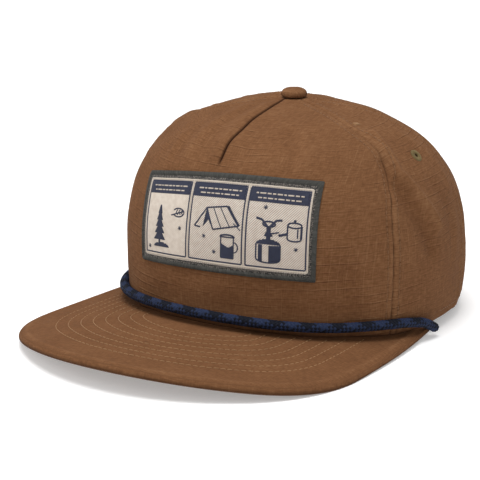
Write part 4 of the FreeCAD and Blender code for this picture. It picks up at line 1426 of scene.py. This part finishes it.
def curve_points(centre_x, centre_y, radius_x, radius_y, first, last, count=14):
    """Points on part of an ellipse."""
    turn = np.radians(np.linspace(first, last, count))
    return [(centre_x + radius_x * math.cos(t), centre_y + radius_y * math.sin(t)) for t in turn]


def box_points(x_low, y_low, x_high, y_high):
    return [(x_low, y_low), (x_high, y_low), (x_high, y_high), (x_low, y_high), (x_low, y_low)]


SIDE_MARGIN = 5.2
FOOT_MARGIN = 5.9
HEAD_MARGIN = 5.2
inner_width = PATCH_WIDTH / MM - 2.0 * SIDE_MARGIN
inner_height = PATCH_HEIGHT / MM - FOOT_MARGIN - HEAD_MARGIN
FRAME_GAP = 2.0
frame_width = (inner_width - 2.0 * FRAME_GAP) / 3.0
HEADER = 6.4


def pine_tree(x, y):
    """A conifer with four tiers over a dark clump of ground."""
    parts = satin([(x - 0.7, y), (x + 0.7, y), (x + 0.6, y + 4.5), (x - 0.6, y + 4.5)])
    for tier in range(5):
        half = 4.6 - 0.75 * tier
        foot = y + 3.6 + 3.5 * tier
        parts += satin([
            (x - half, foot), (x + half, foot), (x + 0.25 * half, foot + 4.6), (x - 0.25 * half, foot + 4.6),
        ])
    parts += satin(curve_points(x + 1.5, y - 0.2, 6.0, 2.4, 0.0, 180.0))
    return parts


def leaf(x, y):
    """A broad leaf on a stalk."""
    outline_points = curve_points(x, y, 3.6, 2.2, -150.0, 150.0)
    parts = [ribbon(outline_points, 0.7)]
    parts.append(ribbon([(x - 4.8, y - 1.6), (x + 3.0, y + 0.6)], 0.7))
    for step in (-1.6, 0.0, 1.6):
        parts.append(ribbon([(x + step, y + 0.1 * step), (x + step + 1.0, y + 1.6)], 0.5))
        parts.append(ribbon([(x + step, y + 0.1 * step), (x + step + 1.4, y - 1.1)], 0.5))
    return parts


def tent(x, y):
    """A ridge tent with an open door and guy ropes."""
    peak, back_peak = (x - 5.5, y + 10.5), (x + 6.0, y + 12.0)
    left, door, right, far = (x - 12.0, y + 1.0), (x - 1.0, y), (x + 13.0, y + 3.0), (x + 10.0, y + 4.0)
    parts = [ribbon(line, 0.8) for line in (
        [left, peak], [peak, door], [peak, back_peak], [back_peak, right], [door, right],
        [left, (x - 8.5, y + 0.6)],
    )]
    parts += satin([(x - 7.0, y + 0.8), peak, (x - 1.6, y + 0.4), (x - 4.0, y + 5.0)], slope=0.9)
    parts += satin([(x + 5.2, y + 12.3), (x + 7.0, y + 12.3), (x + 13.6, y + 3.4), (x + 12.2, y + 3.2)])
    for share in (0.33, 0.66):
        top = (peak[0] + share * (back_peak[0] - peak[0]), peak[1] + share * (back_peak[1] - peak[1]))
        foot = (door[0] + share * (right[0] - door[0]), door[1] + share * (right[1] - door[1]))
        parts.append(ribbon([top, foot], 0.5))
    parts.append(ribbon([far, (x + 14.0, y + 0.8)], 0.5))
    return parts


def mug(x, y):
    """A tall camping mug, half in shade, with a handle."""
    parts = satin([(x - 3.2, y), (x + 3.0, y), (x + 3.2, y + 6.6), (x + 0.6, y + 5.4), (x - 3.4, y + 7.2)])
    parts.append(ribbon(box_points(x - 3.4, y, x + 3.4, y + 10.5), 0.7))
    parts.append(ribbon(curve_points(x, y + 10.5, 3.9, 1.2, -10.0, 190.0), 0.9))
    parts.append(ribbon(curve_points(x + 3.4, y + 5.6, 2.3, 2.6, -80.0, 80.0), 0.7))
    return parts


def stove(x, y):
    """A burner on a round gas canister."""
    parts = [ribbon(curve_points(x, y + 1.6, 6.0, 1.8, 180.0, 360.0), 0.8)]
    parts.append(ribbon([(x - 6.0, y + 1.6), (x - 6.0, y + 9.0)], 0.8))
    parts.append(ribbon([(x + 6.0, y + 1.6), (x + 6.0, y + 9.0)], 0.8))
    shine = [(x - 4.9, y + 0.9), (x - 2.9, y + 0.2), (x - 2.9, y + 8.8), (x - 4.9, y + 8.8)]
    parts += satin(shine, slope=1.57)
    parts += satin([(x + 0.4, y), (x + 5.8, y + 1.0), (x + 5.8, y + 8.8), (x + 0.4, y + 8.4)], slope=1.57)
    parts += satin(curve_points(x, y + 9.0, 6.2, 2.6, 0.0, 180.0))
    parts += satin(box_points(x - 1.1, y + 11.0, x + 1.1, y + 17.5)[:4])
    parts += satin([(x - 2.2, y + 13.0), (x + 2.2, y + 13.0), (x + 1.4, y + 15.0), (x - 1.4, y + 15.0)])
    parts.append(ribbon([(x, y + 17.0), (x - 3.6, y + 21.0), (x - 6.6, y + 21.6)], 1.1))
    parts.append(ribbon([(x, y + 17.0), (x + 3.6, y + 21.0), (x + 6.4, y + 21.4)], 1.1))
    parts.append(ribbon(curve_points(x, y + 19.0, 3.2, 1.3, 0.0, 360.0), 0.9))
    parts.append(ribbon([(x + 1.0, y + 14.4), (x + 5.2, y + 15.4)], 0.7))
    return parts


def pot(x, y):
    """A lidded pot with a side handle."""
    parts = [ribbon(curve_points(x, y + 1.2, 3.4, 1.2, 180.0, 360.0), 0.8)]
    parts.append(ribbon([(x - 3.4, y + 1.2), (x - 3.4, y + 7.6)], 0.8))
    parts.append(ribbon([(x + 3.4, y + 1.2), (x + 3.4, y + 7.6)], 1.1))
    parts.append(ribbon(curve_points(x, y + 7.8, 3.5, 1.3, 0.0, 360.0), 0.8))
    parts += satin(box_points(x - 0.6, y + 9.0, x + 0.6, y + 10.6)[:4])
    parts.append(ribbon([(x - 3.4, y + 3.4), (x - 7.6, y + 2.2)], 1.3))
    parts.append(ribbon([(x + 1.6, y + 1.6), (x + 1.6, y + 6.0)], 0.7))
    return parts


def sparkle(x, y, reach=1.1):
    """A small stitched star."""
    parts = []
    for step in range(3):
        turn = math.radians(20.0 + 60.0 * step)
        dx, dy = reach * math.cos(turn), reach * math.sin(turn)
        parts.append(ribbon([(x - dx, y - dy), (x + dx, y + dy)], 0.45))
    return parts


def frame_origin(number):
    return SIDE_MARGIN + number * (frame_width + FRAME_GAP), FOOT_MARGIN


def picture(name, parts, material):
    thread_piece(name, parts, material, "patch")


# Each frame's drawings, as a maker and its place in the frame.
PICTURES = [
    [(pine_tree, 11.0, 3.6), (leaf, 24.0, 22.5), (sparkle, 25.5, 14.5), (sparkle, 3.0, 3.0)],
    [(tent, 15.0, 16.0), (mug, 22.2, 2.4), (sparkle, 9.0, 12.2), (sparkle, 15.0, 4.8)],
    [(stove, 11.4, 2.6), (pot, 24.0, 14.2), (sparkle, 9.0, 29.4), (sparkle, 25.0, 10.2)],
]


for number in range(3):
    left, low = frame_origin(number)
    high = low + inner_height
    edge_line = box_points(left, low, left + frame_width, high)
    header = satin(
        [(left + 0.4, high - HEADER), (left + frame_width - 0.4, high - HEADER),
         (left + frame_width - 0.4, high - 0.3), (left + 0.4, high - 0.3)], pitch=0.6,
    )
    picture("patch_frame_%d" % (number + 1), [ribbon(edge_line, 0.75)] + header, navy_thread)
    drawing = []
    for maker, x, y in PICTURES[number]:
        drawing += maker(left + x, low + y)
    picture("patch_picture_%d" % (number + 1), drawing, navy_thread)
    dashes = []
    for line_number, (level, inset) in enumerate(((high - 2.4, 3.2), (high - 4.6, 4.4))):
        reach = left + inset
        step = 0
        while reach < left + frame_width - inset:
            run = (1.6, 2.6, 1.2, 3.0, 2.0)[(step + number + 2 * line_number) % 5]
            dashes.append(ribbon(
                [(reach, level), (min(reach + run, left + frame_width - inset + 0.6), level)], 0.75, 0.3
            ))
            reach += run + 0.7
            step += 1
    picture("patch_header_%d" % (number + 1), dashes, cream_thread)
LINE_OUTSIDE = 1.0
left, low = frame_origin(0)
line_box = (
    left - LINE_OUTSIDE, low - LINE_OUTSIDE,
    left + inner_width + LINE_OUTSIDE, low + inner_height + LINE_OUTSIDE,
)
cream_lines = [ribbon(box_points(*line_box), 0.9, 0.28)]
for number in (1, 2):
    middle = frame_origin(number)[0] - 0.5 * FRAME_GAP
    cream_lines.append(ribbon([(middle, line_box[1]), (middle, line_box[3])], 0.9, 0.28))
picture("patch_divider_lines", cream_lines, cream_thread)


# ---------------------------------------------------------------- button
def covered_button():
    """The cloth-covered button: a low dome with gathers turned under its rim."""
    low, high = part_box("button_cover")
    radius = 0.5 * (high.x - low.x)
    height = high.z - low.z
    centre = np.array([0.5 * (low.x + high.x), 0.5 * (low.y + high.y), low.z])
    turn = TURN * np.arange(96) / 96
    profile = [
        (0.80, -0.02), (0.93, 0.03), (0.99, 0.14), (1.0, 0.30), (0.985, 0.48), (0.94, 0.64), (0.86, 0.78),
        (0.74, 0.88), (0.58, 0.945), (0.40, 0.98), (0.2, 0.997), (0.03, 1.0),
    ]
    out = np.array([share for share, _ in profile])[:, None]
    rise = np.array([share for _, share in profile])[:, None]
    pleat = 0.022 * np.sin(14 * turn + 0.6 * np.sin(3 * turn)) * (1.0 - smooth(rise, 0.1, 0.7))
    r = radius * (out + pleat)
    z = height * rise + 0.08 * MM * np.sin(5 * turn) * out
    outer = centre + np.stack([r * np.cos(turn), r * np.sin(turn), z], axis=-1)
    inner = centre + np.stack([
        (r - 0.45 * MM * np.minimum(out * 2, 1)) * np.cos(turn),
        (r - 0.45 * MM * np.minimum(out * 2, 1)) * np.sin(turn),
        z - 0.4 * MM * smooth(rise, 0.3, 0.9),
    ], axis=-1)
    u = (radius * out * np.cos(turn))
    v = (radius * out * np.sin(turn)) + 0.4 * z
    uv = np.stack([u, v], axis=-1)
    uv = np.concatenate([uv, uv[:, :1]], axis=1)
    slab("button_cloth", outer, inner, button_cloth, "button_cloth", uv=uv, wrap=True,
         values={"wear_and_highlight": hump(rise - 0.7, 0.2) + 0.0 * r}, replaces=["button_cover"])


covered_button()


# ---------------------------------------------------------------- inside and back
TAPE_INSET = CLOTH + 0.15 * MM
TAPE = 0.6 * MM
HALF_TAPE = 6.5 * MM


def tape(name, middle_at, low, high):
    """A sewn tape over a seam's inside, with a row of stitches near each edge."""
    climb = np.linspace(low, high, 90)[:, None]
    across = np.linspace(-1.0, 1.0, 13)[None, :]
    middle = middle_at(climb)
    _, rate = crown_frame(middle, climb)
    rate = np.maximum(rate, 2.0 * HALF_TAPE)
    angle = middle + across * HALF_TAPE / rate
    level = climb + 0.0 * across
    crest = 0.12 * MM * np.cos(across * math.pi) + 0.0 * level
    outer = lining(angle, level, TAPE_INSET)
    inner = lining(angle, level, TAPE_INSET + TAPE - 0.12 * MM + crest * 0.5)
    u = np.broadcast_to(across * HALF_TAPE, angle.shape)
    v = np.broadcast_to(run_length(crown(middle[:, 0], climb[:, 0]))[:, None], angle.shape)
    slab(name + "_cloth", outer, inner, tape_cloth, "tape", uv=np.stack([u, v], axis=-1), replaces=[name])
    rows = []
    for share in (-0.72, 0.72):
        row_angle = middle[:, 0] + share * HALF_TAPE / rate[:, 0]
        line = lining(row_angle, climb[:, 0], TAPE_INSET + TAPE)
        rows.append(stitches(line, -crown_frame(row_angle, climb[:, 0])[0], 2.6 * MM, 0.6 * MM, 0.4 * MM))
    thread_piece(name + "_stitches", rows, brown_thread, "thread")


def near_top(degrees):
    angle = np.array([math.radians(degrees)])
    return float(climb_where(lambda p: np.hypot(p[..., 0], p[..., 1] + APEX_FORWARD) > 20.0 * MM, angle)[0])


dart_low = float(climb_where(lambda p: p[..., 2] < DART_FOOT - 3.0 * MM, np.array([0.0]))[0])
tape("dart_tape", lambda climb: 0.0 * climb, dart_low, near_top(0.0))
for side_name, sign in (("left", 1), ("right", -1)):
    tape("front_seam_tape_" + side_name, turned(front_seam, sign, 0.0), 0.002, near_top(70.0))
    tape("back_seam_tape_" + side_name, turned(back_seam, sign, 0.0), 0.002, near_top(112.0))
tape("centre_back_tape", straight_back, arch_top_climb + 0.02, near_top(180.0))

BAND_HEIGHT = 31.0 * MM
BAND_END = math.radians(128.0)
BAND_INSET = TAPE_INSET + TAPE + 0.15 * MM
BAND = 1.6 * MM


BAND_PILLOW = 0.35 * MM
BAND_RIPPLE = 0.12 * MM
BAND_RIPPLES = 40.0


def sweatband():
    """The folded band inside the hem: padded between its turned edge and its stitch rows."""
    angle = np.linspace(-BAND_END, BAND_END, 300)[None, :]
    share = np.linspace(0.0, 1.0, 26)[:, None]
    hem = crown(angle, 0.0 * angle)[..., 2]
    top = climb_where(lambda points: points[..., 2] < hem[0] + BAND_HEIGHT, angle[0])
    climb = 0.004 + (top - 0.004) * share
    angle = angle + 0.0 * climb
    pillow = (
        BAND_PILLOW * np.sin(math.pi * share) ** 0.5
        + BAND_RIPPLE * np.sin(angle * BAND_RIPPLES) * np.sin(math.pi * share)
    )
    groove = -0.3 * MM * hump(share - 0.86, 0.03)
    outer = lining(angle, climb, BAND_INSET)
    inner = lining(angle, climb, BAND_INSET + BAND - 0.45 * MM + pillow + groove)
    u = row_lengths(crown(angle, climb))[:1] + 0.0 * climb
    v = share * BAND_HEIGHT + 0.0 * climb
    slab("sweatband_cloth", outer, inner, band_cloth, "sweatband", uv=np.stack([u, v], axis=-1),
         replaces=["sweatband"])
    rows = []
    for level in (0.12, 0.86):
        row = int(level * 25)
        line = inner[row]
        rows.append(stitches(line, -crown_frame(angle[row], climb[row])[0], 2.6 * MM, 0.6 * MM, 0.42 * MM))
    thread_piece("sweatband_stitches", rows, pale_thread, "thread")


sweatband()


def arch_binding():
    """The folded strip around the opening at the back, with a row of stitches on each face."""
    width = 3.6 * MM
    half_thickness = 1.1 * MM
    radius = ARCH_RADIUS - 0.15 * MM - 0.5 * width
    low_angle = math.asin((ARCH_DROP + 0.9 * MM) / radius)
    sweep = np.linspace(low_angle, math.pi - low_angle, 150)
    spin = TURN * np.arange(14) / 14
    squared = np.sign(np.cos(spin)) * np.abs(np.cos(spin)) ** 0.6
    around = 0.5 * width * squared
    through = half_thickness * np.sign(np.sin(spin)) * np.abs(np.sin(spin)) ** 0.8
    x = (radius + around)[None, :] * np.cos(sweep)[:, None]
    z = (radius + around)[None, :] * np.sin(sweep)[:, None] - ARCH_DROP
    angle, climb = crown_under(x, np.maximum(z, 0.2 * MM), True)
    middle = 0.5 * CLOTH
    ring = lining(angle, climb, middle - through[None, :] + 0.0 * x)[None]
    points, faces = tube_faces(ring[:, :, ::-1])
    binding = piece("arch_binding_cloth", points, clean_faces(faces), band_cloth, "tape", sharp=70.0,
                    replaces=["arch_binding"],
                    uv=binding_uv(faces, sweep, spin, radius, width))
    rows = []
    for inward in (-1.0, 1.0):
        row_angle, row_climb = crown_under((radius + 0.6 * MM) * np.cos(sweep),
                                           (radius + 0.6 * MM) * np.sin(sweep) - ARCH_DROP, True)
        normal = crown_frame(row_angle, row_climb)[0]
        line = lining(row_angle, row_climb, middle + inward * half_thickness)
        rows.append(stitches(line, -inward * normal, 2.4 * MM, 0.5 * MM, 0.42 * MM))
    thread_piece("arch_binding_stitches", rows, brown_thread, "thread")
    return binding


def binding_uv(faces, sweep, spin, radius, width):
    along = radius * sweep[:, None] + 0.0 * spin[None, :]
    over = width * spin[None, :] / TURN + 0.0 * sweep[:, None]
    pairs = np.stack([along, over], axis=-1).reshape(-1, 2)
    corners = np.concatenate([np.array(face) for face in clean_faces(faces)])
    return pairs[corners]


arch_binding()


# ---------------------------------------------------------------- carried-over CAD pieces
CAD_MATERIALS = {
    "hole_strap": strap_plastic, "peg_strap": strap_plastic, "strap_root_left": strap_plastic,
    "strap_root_right": strap_plastic, "brim_board": board_plastic, "button_shell": tack_metal,
    "button_tack": tack_metal,
}
for node_name, material in CAD_MATERIALS.items():
    mesh = frame["nodes"][node_name].data
    mesh.materials.clear()
    mesh.materials.append(material)


def strap_web(name, joint, radius):
    """The thin moulded web along a strap's root, where the strap bends; it is built as a fixed tube on the cap.
    """
    pivot = np.array(joint["pos_m"])
    low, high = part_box("hole_strap")
    levels = np.linspace(0.0, 1.0, 14)[:, None, None]
    waist = radius * (1.0 - 0.12 * np.sin(math.pi * levels))
    waist = waist * np.sqrt(np.sin(math.pi * (0.04 + 0.92 * levels)))
    turn = (TURN * np.arange(20) / 20)[None, :, None]
    ring = np.concatenate([waist * np.cos(turn), waist * np.sin(turn), 0.0 * waist * turn], axis=-1)
    ring = ring + np.array([pivot[0], pivot[1], low.z]) + levels * np.array([0.0, 0.0, high.z - low.z])
    points, faces = tube_faces(ring[None])
    piece(name, points, clean_faces(faces), strap_plastic, "strap", sharp=60.0)


WEB_RADIUS = {"hole_strap_bend": 0.9 * MM, "peg_strap_bend": 1.15 * MM}
for joint in frame["record"]["behaviour"]["joints"]:
    strap_web(joint["name"].replace("bend", "web"), joint, WEB_RADIUS[joint["name"]])


# ---------------------------------------------------------------- floor, lights and camera
def floor_material():
    shade = Shader("floor_paper", 0.9, specular=0.1)
    spot = shade.place()
    shade.colour(shade.mix(shade.noise(spot, 3.0, 3.0), (0.78, 0.78, 0.78, 1.0), (0.82, 0.82, 0.82, 1.0)))
    shade.surface.inputs["Emission Color"].default_value = (1.0, 1.0, 1.0, 1.0)
    shade.surface.inputs["Emission Strength"].default_value = 0.3
    return shade.material


def floor():
    half = 12.0
    mesh = bpy.data.meshes.new("floor")
    corners = [(-half, -half, 0), (half, -half, 0), (half, half, 0), (-half, half, 0)]
    mesh.from_pydata(corners, [], [(0, 1, 2, 3)])
    mesh.materials.append(floor_material())
    result = bpy.data.objects.new("floor", mesh)
    result.location.z = -0.0002
    bpy.context.scene.collection.objects.link(result)


def softbox(name, place, aim, size, power, colour=(1.0, 1.0, 1.0)):
    light = bpy.data.lights.new(name, "AREA")
    light.shape = "DISK"
    light.size = size
    light.energy = power
    light.color = colour
    result = bpy.data.objects.new(name, light)
    result.location = place
    result.rotation_euler = (Vector(aim) - Vector(place)).to_track_quat("-Z", "Y").to_euler()
    bpy.context.scene.collection.objects.link(result)


def camera():
    azimuth = math.radians(34.31)
    elevation = math.radians(15.28)
    distance = 1.1932
    aim = Vector((-0.0085, -0.0384, 0.0434))
    level = math.cos(elevation)
    away = Vector((math.sin(azimuth) * level, -math.cos(azimuth) * level, math.sin(elevation)))
    data = bpy.data.cameras.new("camera")
    data.lens = 173.3
    data.sensor_width = 36.0
    result = bpy.data.objects.new("camera", data)
    result.location = aim + away * distance
    result.rotation_euler = (-away).to_track_quat("-Z", "Y").to_euler()
    bpy.context.scene.collection.objects.link(result)
    bpy.context.scene.camera = result


floor()
softbox("top_light", (0.0, -0.14, 1.6), (0.0, -0.02, 0.05), 1.1, 24.0)
softbox("left_light", (-1.6, -1.2, 1.0), (0.0, 0.0, 0.06), 1.4, 9.0)
softbox("front_fill", (1.0, -1.7, 0.9), (0.0, 0.0, 0.06), 1.4, 4.0)
world = bpy.data.worlds.new("studio")
world.use_nodes = True
world.node_tree.nodes["Background"].inputs["Color"].default_value = (1.0, 1.0, 1.0, 1.0)
world.node_tree.nodes["Background"].inputs["Strength"].default_value = 0.5
bpy.context.scene.world = world
bpy.context.scene.view_settings.view_transform = "Standard"
camera()
